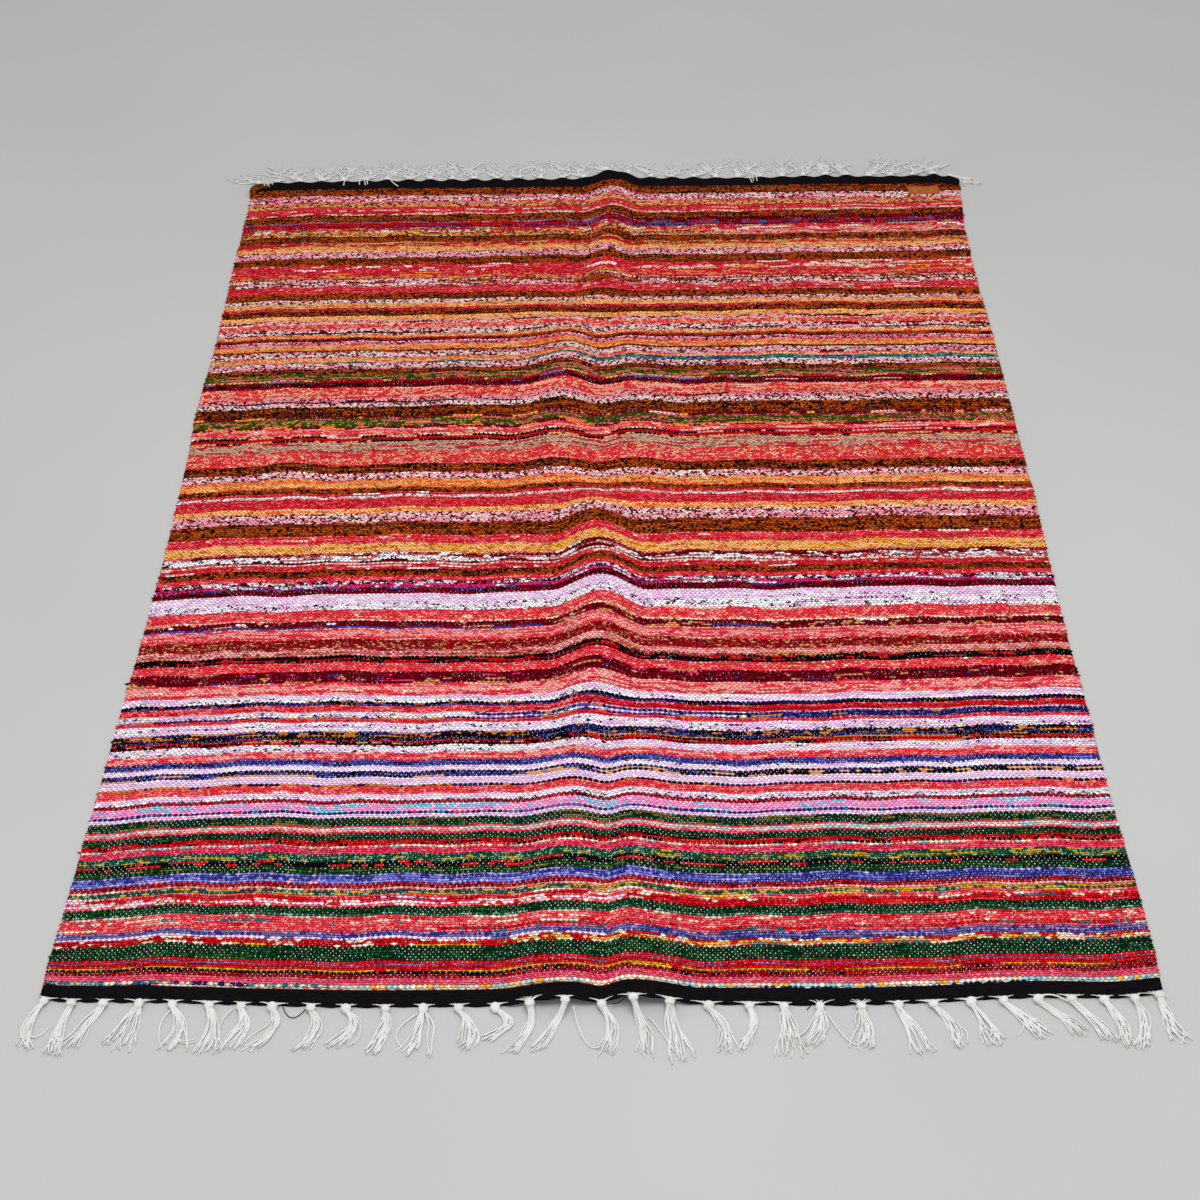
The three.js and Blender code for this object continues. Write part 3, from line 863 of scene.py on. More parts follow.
# No yarn is even: the line between two picks strays a little on slow waves of its own.
slub_size = dice.uniform(*slub_length, (len(rows), 1))
slub_phase = dice.uniform(0, 2 * math.pi, (len(rows), 1))
slub = slub_depth * np.sin(slub_phase + 2 * math.pi * columns[None, :] / slub_size)
slub[1::2] = (slub[:-2:2] + slub[2::2]) / 2
slub[[0, -1]] = 0
along_grid = along_grid + slub

# Each pick turns back at the selvedge in a small loop, some of them slack.
turns = dice.normal(0, 1.0, (2, pick_count)) + 0.8 * (np.arange(pick_count) % 2)
turns = turns + 2.6 * waves(0, np.arange(pick_count) * 4, turn_waves, 0.5)
for side, place, reach in slack_turns:
    turns[side, np.abs(rows[1::2] - place).argmin()] += reach
loops = np.zeros((len(rows), 2))
loops[1::2] = turns.T
edge_share = np.clip((np.abs(columns) - loop_from) / loop_width, 0, 1)
side_of = (columns > 0).astype(int)
across_grid = across_grid + np.sign(columns) * edge_share * loops[:, side_of]

weave_grid = weave_places(columns, hump_pitch, len(rows))
field_mesh, field_faces, field_places = closed_sheet(
    "field_cloth", across_grid, along_grid, np.zeros_like(along_grid), height, weave_grid)

# Each face knows the yarns of its own pick and of the pick beside it.
face_place = np.concatenate([field_places[group].mean(axis=1) for group in field_faces])
own = np.clip(face_place[:, 1].astype(int), 0, pick_count - 1)
beside = np.clip(own + np.where(face_place[:, 1] % 1 < 0.5, -1, 1), 0, pick_count - 1)
face_across = (face_place[:, 0] - 2) * hump_pitch - cloth_width / 2
for prefix, pick in (("own", own), ("beside", beside)):
    side = (face_across > pick_join[pick]).astype(int)
    for i, part in enumerate(("main", "second", "third", "fleck", "look")):
        attribute = field_mesh.attributes.new(f"{prefix}_{part}", "FLOAT_COLOR", "FACE")
        attribute.data.foreach_set("color", pick_yarns[pick, side, i].astype(np.float32).ravel())

# A flat layout of its own: the top on the left, the underside on the right, the rims round the top.
top_island = {"middle": (0.341, 0.5), "size": (0.658, 0.98)}
under_island = {"middle": (0.84, 0.5), "size": (0.28, 0.98)}
rim_spread = 1.015


def island_places(island, spread=1.0):
    """The cloth's places inside one rectangle of the flat layout."""
    share = np.stack([
        (field_places[:, 0] - 2) * hump_pitch / cloth_width - 0.5,
        field_places[:, 1] / pick_count - 0.5,
    ], axis=1)
    return np.array(island["middle"]) + share * np.array(island["size"]) * spread


on_top = island_places(top_island)
round_top = np.where(
    np.arange(len(field_places))[:, None] < across_grid.size,
    on_top,
    island_places(top_island, rim_spread),
)
layout = [on_top, island_places(under_island), round_top]
flat = [places[group.ravel()] for places, group in zip(layout, field_faces)]
flat_layer = field_mesh.uv_layers.new(name="OFBake")
flat_layer.data.foreach_set("uv", np.concatenate(flat).astype(np.float32).ravel())


def weave_cell(finish, bulge, stray=0.0, map_name="weave"):
    """The weave's pattern at a place. The weft floats over every other warp end, so each pick is a row
    of humps and the next row is half a step on. A hump is wider at its middle than at its ends by the
    bulge, fills the dip between two humps of the next row, and strays along its pick by a share of its
    length. It gives whether the place belongs to the neighbouring pick, the pick, the hump, the place
    within the hump, and its height."""
    u, v = finish.map_of(map_name)
    if stray:
        u = u + (finish.cloud(0.012) - 0.5) * stray
    pick = v.floor()
    from_middle = v - pick - 0.5
    way = (from_middle > 0.0) * 2.0 - 1.0
    in_hump = (u + (pick % 2.0) * 0.5) % 1.0 - 0.5
    half = in_hump.wave() * bulge + 0.5
    lent = from_middle.size() > half
    owner = pick + way * lent
    place = u + (owner % 2.0) * 0.5
    hump = place.floor()
    over = place - hump - 0.5
    off = from_middle - way * lent
    share = off / (over.wave() * bulge + 0.5)
    height = (1.0 - share * share) * (1.0 - over * over * 2.4)
    return lent, owner, hump, over, off, height


cloth_finish = Finish("woven stripes", roughness=0.95, gloss=0.03)
lent, owner, hump, over, off, hump_height = weave_cell(cloth_finish, 0.17, stray=0.9)
yarn = {}
for part in ("main", "second", "third", "fleck", "look"):
    mine, theirs = (cloth_finish.attribute(f"{whose}_{part}") for whose in ("own", "beside"))
    yarn[part] = cloth_finish.blend(lent, mine, theirs)
for part in ("main", "second", "third"):
    mine, theirs = (cloth_finish.attribute(f"{whose}_{part}", "Alpha") for whose in ("own", "beside"))
    yarn[part + "_share"] = mine + (theirs - mine) * lent
look = cloth_finish.tree.nodes.new("ShaderNodeSeparateColor")
join(cloth_finish.tree, yarn["look"], look.inputs[0])
dots, fuzz = (Wire(cloth_finish.tree, output) for output in look.outputs[:2])

# Which of the pick's yarns shows: runs of humps with slightly uneven ends share one draw, short runs
# for the second yarn and long ones for the third. Flecks and streaks lie over all of them.
run_ends = 0.8
short_humps = 1.4
long_humps = 6.5
ragged = hump + cloth_finish.chance(hump, owner, 3.0) * run_ends
short_run = (ragged / short_humps + cloth_finish.chance(owner, 5.0)).floor()
long_run = (ragged / long_humps + cloth_finish.chance(owner, 6.0)).floor()
takes_short = yarn["main_share"] > cloth_finish.chance(short_run, owner, 9.0)
takes_long = yarn["second_share"] > cloth_finish.chance(long_run, owner, 10.0)
hue = cloth_finish.blend(takes_short, yarn["main"], yarn["second"])
hue = cloth_finish.blend(takes_long, hue, yarn["third"])
squiggle = cloth_finish.cloud(0.0052, detail=2.0).ramp(0.34, 0.66)
twist = cloth_finish.cloud(0.0034, detail=1.5).ramp(0.34, 0.66)
speck = (cloth_finish.chance(hump, owner, 12.0) + twist) * 0.5
pattern = speck + (squiggle - speck) * (fuzz > fluffy)
fleck = (yarn["third_share"] - pattern).ramp(-0.05, 0.05)
hue = cloth_finish.blend(fleck, hue, yarn["fleck"])

# Tone within the cloth: each hump and each pick a little lighter or darker at random, and rough fibres.
# Painted light and shade over the weave: each hump is painted lighter at its crown and darker towards its
# edges, and painted shade lies deep in the seams between the humps, where the colour of the yarn counts
# twice. Light yarns have paler painted seams, because they light each other.
hump_tone = 0.34
pick_tone = 0.22
worn_tone = 0.12
least_tone = 0.72
fibre_tone = 1.1
painted_seam_share = 0.55
fibre = cloth_finish.cloud(0.0010, detail=2.0).ramp(0.28, 0.72)
worn = cloth_finish.cloud(0.045).ramp(0.3, 0.7)
tone_and_painted_shade = cloth_finish.chance(hump, owner, 1.0) * hump_tone + cloth_finish.chance(owner, 2.0) * pick_tone
tone_and_painted_shade = (tone_and_painted_shade + worn * worn_tone + least_tone) * ((fibre - 0.5) * fuzz * fibre_tone + 1.0)
light = cloth_finish.add("ShaderNodeRGBToBW", "Val", {"Color": hue})
# Painted light and shade: the tone rises to the crown of each hump and falls to its edges, less on light
# yarns.
tone_and_painted_shade = tone_and_painted_shade * (hump_height * (1.4 - light * 0.6) + light * 0.36 + 0.15)
# Painted shade in the seams: the yarn's colour times itself, mixed in where the humps fall away.
painted_seam_hue = cloth_finish.blend(1.0, hue, hue, how="MULTIPLY")
hue = cloth_finish.blend((1.0 - hump_height) * painted_seam_share, hue, painted_seam_hue)
hue = cloth_finish.blend(1.0, hue, tone_and_painted_shade, how="MULTIPLY")

# The white warp shows as a short tick where the weft dives under it, more in some places than others.
warp_colour = linear(240, 234, 218)
tick_width = 0.09
tick_length = 0.32
side_gap = (0.5 - over.size()) / tick_width
row_gap = off / tick_length
dot = 1.0 - (side_gap * side_gap + row_gap * row_gap).ramp(0.5, 1.3)
cluster = cloth_finish.cloud(0.035).ramp(0.36, 0.6)
dot = dot * (dots * (cluster * 0.8 + 0.35) > cloth_finish.chance(hump, owner, 4.0))
cloth_finish.colour(cloth_finish.blend(dot, hue, warp_colour))
cloth_finish.relief(hump_height + dot * 0.4 + (fibre * 0.3 + squiggle * 0.4) * fuzz, 0.0015)

field = add_object("field_cloth", field_mesh, cloth_finish)
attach(field, "root")
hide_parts("rug_field")


# The headings: bands of thin black weft, beaten tight, that hold the stripes in at both ends. The near
# one bulges out between its knots. The far one draws in there and stands off the floor, most at the
# knots.
heading_depth = 22.0
heading_picks = 10
heading_step = 3.65
heading_top = 3.9
heading_valley = 0.7
heading_round = 1.4
black_finish = Finish("black weft", roughness=0.95, gloss=0.03)
_, owner, hump, _, _, hump_height = weave_cell(black_finish, 0.1)
grit = black_finish.cloud(0.0007, detail=3.0).ramp(0.3, 0.7)
black_hue = black_finish.blend(grit, linear(10, 8, 11), linear(26, 23, 26))
# Painted light and shade: each hump of black weft is lighter at its crown and darker at its edges, with a
# random tone for each pick and hump.
black_tone_and_shade = hump_height * 0.8 + black_finish.chance(owner, hump, 1.0) * 0.5 + 0.35
black_finish.colour(black_finish.blend(1.0, black_hue, black_tone_and_shade, how="MULTIPLY"))
black_finish.relief(hump_height + grit * 0.3, 0.0007)


def heading(name, start, outwards, scallop, raise_all, raise_knot, knots_at):
    """A heading: a closed sheet of thin picks. Its outer edge bulges by the scallop between the knots,
    or draws in where that is negative, and stands off the floor, more at the knots, both as a cosine of
    the place between two knots."""
    count = int(cloth_width / heading_step / 4) * 4
    step_rows = np.linspace(start, start + heading_depth, 2 * heading_picks + 1)
    across, along = np.meshgrid(np.linspace(-cloth_width / 2, cloth_width / 2, count + 1), step_rows)
    beat = np.interp(across, knots_at, np.arange(len(knots_at)))
    at_knot = 0.5 + 0.5 * np.cos(2 * math.pi * beat)
    uneven = np.interp(across, knots_at, dice.uniform(0.4, 1.4, len(knots_at)))
    outer = (along - start) / heading_depth
    outer = outer if outwards > 0 else 1 - outer
    along = along + outwards * scallop * uneven * (1 - at_knot) * outer ** 2
    raised = (raise_all + raise_knot * uneven * at_knot) * outer ** 2
    valley = (np.arange(len(step_rows)) % 2 == 0)[:, None]
    height = heading_top - heading_valley * valley - heading_round * outer ** 8
    height = height - np.interp(np.abs(across), selvedge[::-1], selvedge_drop[::-1])
    weave = weave_places(across, 2 * heading_step, len(step_rows))
    mesh, _, _ = closed_sheet(name, across, along, raised, height, weave)
    return add_object(name, mesh, black_finish)


# The fringe: the warp ends, twelve to a tassel, come out of each heading, run together into an overhand
# knot and end in loose cotton strands on the floor. The near tassels lie combed, the far ones in frizzy
# tufts. Each row has the knot's place across, then how far its tip lies aside and out, how wide the tips
# spread, and how far the tassel bows aside on the way, in mm.
tassel_columns = "across lean reach spread bow"
near_tassels = table(tassel_columns, [
    (-692, -10, 68, 16, -7),
    (-657, -9, 74, 17, -3),
    (-617, -28, 64, 15, -2),
    (-572, -14, 66, 34, -3),
    (-530, 9, 67, 24, 10),
    (-484, 3, 67, 23, 6),
    (-444, -7, 63, 24, 10),
    (-405, -19, 63, 21, 12),
    (-357, -5, 60, 16, 12),
    (-313, -4, 54, 26, 14),
    (-264, -10, 64, 22, 6),
    (-217, -6, 68, 28, 3),
    (-173, 12, 58, 22, 10),
    (-128, -6, 44, 16, 20),
    (-85, -18, 64, 18, 8),
    (-41, -30, 64, 20, -2),
    (4, 6, 70, 15, 10),
    (43, 14, 71, 24, 4),
    (88, 15, 80, 23, 0),
    (136, 20, 64, 17, 8),
    (186, -9, 61, 17, 8),
    (229, 3, 71, 24, 3),
    (273, -17, 55, 22, 4),
    (324, 0, 58, 34, 3),
    (370, 27, 69, 22, 2),
    (413, 26, 61, 16, 8),
    (460, 20, 59, 24, 3),
    (500, 38, 52, 20, 5),
    (543, 42, 49, 18, 4),
    (584, 38, 60, 17, 4),
    (624, 19, 66, 17, 7),
    (662, -5, 70, 17, 7),
    (693, 14, 66, 20, 0),
])
far_tassels = table(tassel_columns, [
    (-690, -34, 34, 16, -4),
    (-654, -16, 58, 20, 6),
    (-610, -20, 62, 24, -8),
    (-566, 4, 64, 34, 3),
    (-522, 14, 60, 20, -5),
    (-479, 12, 58, 22, 8),
    (-436, 10, 72, 24, -3),
    (-393, -12, 60, 20, 5),
    (-350, 16, 66, 22, -9),
    (-306, -14, 70, 26, 4),
    (-262, -10, 68, 26, -2),
    (-218, -20, 62, 18, 7),
    (-174, 12, 58, 20, -6),
    (-131, -14, 66, 20, 3),
    (-88, -12, 68, 24, 9),
    (-44, -20, 62, 20, -5),
    (0, -14, 60, 18, 2),
    (44, -20, 62, 24, -7),
    (88, -22, 64, 22, 6),
    (131, 20, 50, 20, -3),
    (174, 22, 58, 20, 8),
    (218, 18, 70, 20, -4),
    (262, 14, 66, 22, 5),
    (306, -10, 58, 20, -8),
    (350, 10, 66, 22, 3),
    (393, 12, 70, 22, -2),
    (436, -14, 64, 20, 6),
    (479, -12, 60, 22, -5),
    (522, 16, 66, 20, 9),
    (566, 18, 58, 22, -3),
    (610, 12, 60, 24, 4),
    (652, 20, 54, 20, -6),
    (684, 30, -26, 22, 16),
])


# How the strands of each end lie: their radius, how much shorter some are, how much wider they fan, how
# far each strays, curls and rises from the floor, and how long the hairs at their tips are.
near_lie = {
    "radius": 1.15, "short": 0.2, "fan": 1.0, "stray": 2.8, "curl": 3.2, "rise": 0.0, "hair": (1.5, 4),
}
far_lie = {
    "radius": 1.15, "short": 0.5, "fan": 1.5, "stray": 11.0, "curl": 11.0, "rise": 14.0, "hair": (4, 10),
}
warps_per_tassel = 12
strand_steps = 15
hairs_per_strand = 3
knot_wraps = 4
knot_setback = 7.0
knot_height = 6.4
knot_half_width = (4.2, 5.3)
core_half_length = 6.0
core_radius = 4.9
wrap_turns = 1.12
wrap_spread = 2.6
wrap_slant = 1.8
wrap_radius = 1.6
worn_knots = (-85.0, 273.0, 324.0)
root_spread = 3.0
root_height = 2.4
landing = 0.42
warp_offsets = np.array([17.0, 12.5, 8.5, 5.5, 3.0, 1.2])
warp_radius = (0.28, 1.0)
warp_height = 3.4
warp_steps = 7
wrap_steps = 20
core_steps = 9
hair_steps = 4
hair_taper = (0.5, 0.25)
floor_reach = 12.0

# Single strands that stray from their tassels, each from one place to another by way of a third: across
# and along for all three.
near_strays = np.array([
    (-703, -50, -694, -72, -678, -41),
    (-517, -49, -515, -64, -496, -55),
    (-517, -52, -513, -68, -494, -58),
    (-530, -12, -551, -38, -533, -70),
    (-454, -10, -478, -36, -459, -64),
    (-223, -12, -262, -40, -240, -60),
    (-222, -14, -228, -50, -246, -66),
    (-125, -12, -98, -26, -132, -55),
    (-31, -8, -14, -95, 13, -52),
    (62, -22, 80, -45, 92, -72),
    (226, -12, 217, -28, 232, -50),
    (280, -12, 318, -100, 330, -30),
    (320, -12, 309, -26, 322, -44),
    (465, -10, 463, -45, 485, -70),
    (505, -10, 535, -30, 511, -57),
    (711, -56, 714, -68, 705, -78),
])
near_arch = np.array([(545, -3, 563, 3, 583, -12)])
far_strays = np.array([
    (-684, 2004, -680, 2000, -676, 1988),
    (-680, 2004, -674, 2000, -672, 1991),
    (-676, 2004, -670, 2000, -668, 1986),
    (-672, 2004, -664, 2002, -662, 1994),
    (-512, 2004, -520, 2000, -521, 1988),
    (-484, 2004, -490, 2002, -490, 1990),
    (-484, 2004, -480, 2000, -478, 1988),
    (-482, 2004, -474, 2004, -474, 1990),
    (-428, 2004, -430, 1988, -412, 1982),
    (283, 2004, 284, 1992, 290, 1984),
    (290, 2004, 291, 2000, 293, 1990),
    (296, 2004, 298, 2000, 300, 1990),
])

cotton_finish = Finish("white cotton", roughness=0.88, sheen=0.25, gloss=0.2)
round_it, length_on = cotton_finish.map_of("yarn")
ply_length = 2.6
ply = (round_it * 2.0 + length_on / ply_length).wave() * 0.5 + 0.5
lint = cotton_finish.cloud(0.0012, detail=3.0).ramp(0.3, 0.7)
soil = cotton_finish.cloud(0.03).ramp(0.35, 0.7)
cotton_hue = cotton_finish.blend(soil, linear(252, 252, 251), linear(241, 239, 234))
# Painted shade in the grooves of the ply twist, with a random tone from the lint.
cotton_tone_and_ply_shade = ply * 0.12 + lint * 0.12 + 0.79
cotton_finish.colour(cotton_finish.blend(1.0, cotton_hue, cotton_tone_and_ply_shade, how="MULTIPLY"))
cotton_finish.relief(ply * 0.7 + lint * 0.5, 0.0003)


def tubes(paths, radius, sides, reference=(0.0, 0.0, 1.0)):
    """Closed tubes along many paths at once. Round each point of a path goes a ring of the radius there,
    square to the path, and a pole closes each end. paths has the shape (tubes, steps, 3), radius is
    (tubes, steps), and the reference is a direction that no path runs in."""
    count, steps = paths.shape[:2]
    ahead = np.gradient(paths, axis=1)
    ahead /= np.linalg.norm(ahead, axis=2, keepdims=True) + 1e-12
    sideways = np.cross(ahead, reference)
    sideways /= np.linalg.norm(sideways, axis=2, keepdims=True) + 1e-12
    upright = np.cross(sideways, ahead)
    turn = 2 * math.pi * np.arange(sides)[:, None] / sides
    ring = np.cos(turn) * sideways[:, :, None] + np.sin(turn) * upright[:, :, None]
    rings = paths[:, :, None] + radius[:, :, None, None] * ring
    overhang = 0.6 * radius[:, [0, -1], None] * ahead[:, [0, -1]] * np.array([[-1.0], [1.0]])
    poles = paths[:, [0, -1]] + overhang
    points = np.concatenate([rings.reshape(count, -1, 3), poles], axis=1)
    base = np.arange(count)[:, None, None] * points.shape[1]
    step = np.arange(steps - 1)[None, :, None] * sides
    here = np.arange(sides)
    onward = (here + 1) % sides
    quads = np.stack([
        base + step + here,
        base + step + sides + here,
        base + step + sides + onward,
        base + step + onward,
    ], axis=-1).reshape(-1, 4)
    first = base[:, :, 0]
    last = first + (steps - 1) * sides
    pole = first + steps * sides
    starts = np.stack(np.broadcast_arrays(pole, first + here, first + onward), axis=-1)
    ends = np.stack(np.broadcast_arrays(pole + 1, last + onward, last + here), axis=-1)
    caps = np.concatenate([starts.reshape(-1, 3), ends.reshape(-1, 3)])
    far_along = np.linalg.norm(np.diff(paths, axis=1), axis=2).cumsum(axis=1) / MM
    far_along = np.concatenate([np.zeros((count, 1)), far_along], axis=1)
    low, high = np.broadcast_arrays(far_along[:, :-1, None], far_along[:, 1:, None])
    low, high = (np.broadcast_to(value, (count, steps - 1, sides)) for value in (low, high))
    left = np.broadcast_to(here / sides, low.shape)
    quad_map = np.stack([
        np.stack([left, low], axis=-1),
        np.stack([left, high], axis=-1),
        np.stack([left + 1 / sides, high], axis=-1),
        np.stack([left + 1 / sides, low], axis=-1),
    ], axis=-2).reshape(-1, 2)
    cap_map = np.zeros((caps.size, 2))
    return points.reshape(-1, 3), quads, caps, quad_map, cap_map


def bundle(name, groups):
    """One mesh from several groups of tubes."""
    points, quads, caps, quad_maps, cap_maps = ([] for _ in range(5))
    count = 0
    for group in groups:
        points.append(group[0])
        quads.append(group[1] + count)
        caps.append(group[2] + count)
        quad_maps.append(group[3])
        cap_maps.append(group[4])
        count += len(group[0])
    faces = [np.concatenate(quads), np.concatenate(caps)]
    yarn_map = np.concatenate(quad_maps + cap_maps)
    return fill_mesh(name, np.concatenate(points), faces, {"yarn": yarn_map})


def bend(start, middle, end, t):
    """Points on the curve from start to end that heads for the middle: the quadratic Bezier."""
    return start * (1 - t) ** 2 + middle * 2 * t * (1 - t) + end * t * t


def lying(rows, heights, steps=15):
    """Paths over the rug and the floor beside it, one for each row, from its first place to its third by
    way of the second. The heights over the cloth's underside or the floor belong to the three places."""
    t = np.linspace(0, 1, steps)[None, :, None]
    lifts = np.broadcast_to(np.array(heights, dtype=float), (len(rows), 3))
    start, middle, end = (
        np.concatenate([rows[:, i * 2:i * 2 + 2], lifts[:, i:i + 1]], axis=1)[:, None] for i in range(3))
    place = bend(start, middle, end, t)
    path = on_cloth(place[..., 0], place[..., 1])
    outside = np.maximum(-place[..., 1], place[..., 1] - cloth_length)
    path[..., 2] = path[..., 2] * np.clip(1 - outside / floor_reach, 0, 1) + place[..., 2] * MM
    return path


def knot_places(tassels, outwards):
    """Where the knots sit: on the floor or the fold, clear of the heading's outer edge."""
    edge = 0.0 if outwards < 0 else cloth_length
    centre = on_cloth(tassels["across"], np.full(len(tassels), edge))
    centre[:, 1] += outwards * knot_setback * MM
    return centre


def loose_strands(tassels, outwards, lie):
    """The free strands: from the knot each one bows aside as its tassel does and runs on to its own tip,
    with waves that grow along it. They lie on each other in three layers, and some rise on the way."""
    size = (len(tassels), warps_per_tassel)
    zero = np.zeros(size)
    centre = knot_places(tassels, outwards)[:, None, None, :]
    t = np.linspace(0, 1, strand_steps)[None, None, :]
    share = np.linspace(-1, 1, warps_per_tassel)[None, :] + dice.normal(0, 0.12, size)
    reach = tassels["reach"][:, None] * (1 - lie["short"] * dice.random(size) ** 1.5)
    lean = tassels["lean"][:, None] + share * tassels["spread"][:, None] * lie["fan"] / 2
    lean = lean + dice.normal(0, lie["stray"], size)
    bow = 2 * tassels["bow"][:, None] + dice.normal(0, 0.9 * lie["stray"], size)
    bow = bow + 12 * dice.choice([-1, 0, 1], size, p=[0.04, 0.92, 0.04])
    outset = np.stack([share * root_spread, outwards * root_spread + zero, zero], axis=-1)
    root = centre + outset[:, :, None] * MM
    tip = centre + np.stack([lean, outwards * reach, zero], axis=-1)[:, :, None] * MM
    aside = np.stack([bow, zero, zero], axis=-1)[:, :, None] * MM
    path = bend(root, root + 0.35 * (tip - root) + aside, tip, t[..., None])
    phase = dice.uniform(0, 2 * math.pi, (3, *size, 1))
    beats = dice.uniform(0.7, 1.6, (2, *size, 1))
    swing = lie["curl"] * MM * t * (0.4 + 0.6 * t)
    path[..., 0] += swing * np.sin(phase[0] + 2 * math.pi * beats[0] * t)
    path[..., 1] += 0.5 * swing * np.sin(phase[1] + 2 * math.pi * beats[1] * t)
    layer = dice.permuted(np.tile(np.arange(warps_per_tassel) % 3, (size[0], 1)), axis=1)[..., None]
    pile = (0.95 + 0.8 * layer) * lie["radius"] * MM
    start = centre[..., 2] + (knot_height + dice.uniform(-root_height, root_height, (*size, 1))) * MM
    come_down = np.clip(1 - t / landing, 0, 1) ** 2
    rise = lie["rise"] * MM * dice.random((*size, 1)) ** 2 * np.clip(np.sin(phase[2] / 2 + 3 * t), 0, 1) * t
    path[..., 2] = pile + (start - pile) * come_down + rise
    path = path.reshape(-1, strand_steps, 3)
    taper = np.linspace(1, 0.88, strand_steps)[None, :] * dice.uniform(0.85, 1.1, (len(path), 1))
    return path, lie["radius"] * MM * taper


def frayed_hairs(paths, lie):
    """A few fine hairs at the end of each strand, fanned out from its tip."""
    tips = np.repeat(paths[:, -1], hairs_per_strand, axis=0)
    heading_on = np.repeat(paths[:, -1] - paths[:, -3], hairs_per_strand, axis=0)
    heading_on /= np.linalg.norm(heading_on, axis=1, keepdims=True)
    turn = dice.normal(0, 0.5, len(tips))
    cos, sin = np.cos(turn), np.sin(turn)
    away = np.stack([
        heading_on[:, 0] * cos - heading_on[:, 1] * sin,
        heading_on[:, 0] * sin + heading_on[:, 1] * cos,
        dice.uniform(-0.02, 0.12, len(tips)),
    ], axis=1)
    reach = dice.uniform(*lie["hair"], (len(tips), 1, 1)) * MM
    t = np.linspace(-0.3, 1, hair_steps)[None, :, None]
    hairs = tips[:, None] + away[:, None] * reach * t
    hairs[..., 2] = np.maximum(hairs[..., 2], 0.5 * MM)
    radius = np.linspace(*hair_taper, hair_steps)[None, :] * lie["radius"] * MM * np.ones((len(tips), 1))
    return hairs, radius


def gathered_warps(tassels, outwards, raised):
    """The warp ends between heading and knot: they leave the edge on both sides of the knot, fine at
    first, and hug it on their way in. At the worn knots they start farther inside."""
    edge = 0.0 if outwards < 0 else cloth_length
    size = (len(tassels), warps_per_tassel)
    drawn_in = np.repeat(dice.uniform(0.55, 1.25, (len(tassels), 2)), len(warp_offsets), axis=1)
    offset = np.concatenate([-warp_offsets, warp_offsets[::-1]])[None, :] * drawn_in
    offset = offset * dice.uniform(0.85, 1.15, size)
    start_across = np.clip(tassels["across"][:, None] + offset, 1 - cloth_width / 2, cloth_width / 2 - 1)
    worn = np.where(np.isin(tassels["across"], worn_knots), 3.0, 1.0)[:, None]
    inset = dice.uniform(0.2, 1.4, size) * worn
    start = on_cloth(start_across, edge - outwards * inset)
    start[..., 2] += (warp_height + raised + 0.4 * worn) * MM
    knot = knot_places(tassels, outwards)[:, None] + np.zeros_like(start)
    knot[..., 2] += (knot_height + 1.0) * MM
    middle = start * (0.45, 0.85, 0.5) + knot * (0.55, 0.15, 0.5)
    t = np.linspace(0, 1, warp_steps)[None, None, :, None]
    path = bend(start[:, :, None], middle[:, :, None], knot[:, :, None], t).reshape(-1, warp_steps, 3)
    radius = np.linspace(*warp_radius, warp_steps)[None, :] * MM * np.ones((len(path), 1))
    return path, radius


def knots(tassels, outwards):
    """The knots: four wraps side by side round the bundle, each a slanted ring of a turn and a bit, over
    a round core."""
    count = len(tassels)
    centre = knot_places(tassels, outwards)[:, None, None]
    turn = np.linspace(0, 1, wrap_steps)[None, None]
    offset = np.linspace(-1, 1, knot_wraps)[None, :, None]
    phase = dice.uniform(0, 1, (count, 1, 1)) + 0.04 * offset
    angle = 2 * math.pi * (phase + wrap_turns * turn)
    wide = dice.uniform(*knot_half_width, (count, 1, 1)) * (1 - 0.2 * offset ** 2)
    slant = dice.uniform(-wrap_slant, wrap_slant, (count, 1, 1))
    path = np.stack([
        wide * np.cos(angle),
        offset * wrap_spread + slant * np.sin(angle) + 0.8 * (turn - 0.5),
        wide * 0.8 * np.sin(angle),
    ], axis=-1) * MM + centre
    path[..., 2] += knot_height * MM
    path = path.reshape(-1, wrap_steps, 3)
    radius = np.full(path.shape[:2], wrap_radius * MM)
    t = np.linspace(0, 1, core_steps)[None, :, None]
    reach = np.array([0.0, core_half_length * MM, 0.0])
    core = knot_places(tassels, outwards)[:, None] + (2 * t - 1) * reach
    core[..., 2] += knot_height * MM
    bulb = core_radius * MM * np.sqrt(np.clip(1 - (2 * t[..., 0] - 1) ** 2, 0.03, 1)) * np.ones((count, 1))
    return (path, radius), (core, bulb)


def fringe(name, tassels, outwards, lie, raised, strays):
    """All the cotton of one end in one piece."""
    strands, thickness = loose_strands(tassels, outwards, lie)
    hairs, hair_thickness = frayed_hairs(strands, lie)
    warps, warp_thickness = gathered_warps(tassels, outwards, raised)
    (wraps, wrap_thickness), (cores, core_thickness) = knots(tassels, outwards)
    stray_thickness = np.full(strays.shape[:2], 0.9 * lie["radius"] * MM)
    mesh = bundle(name, [
        tubes(strands, thickness, 6),
        tubes(hairs, hair_thickness, 3),
        tubes(warps, warp_thickness, 5),
        tubes(wraps, wrap_thickness, 6, reference=(0.0, 1.0, 0.0)),
        tubes(cores, core_thickness, 10),
        tubes(strays, stray_thickness, 6),
    ])
    return add_object(name, mesh, cotton_finish)


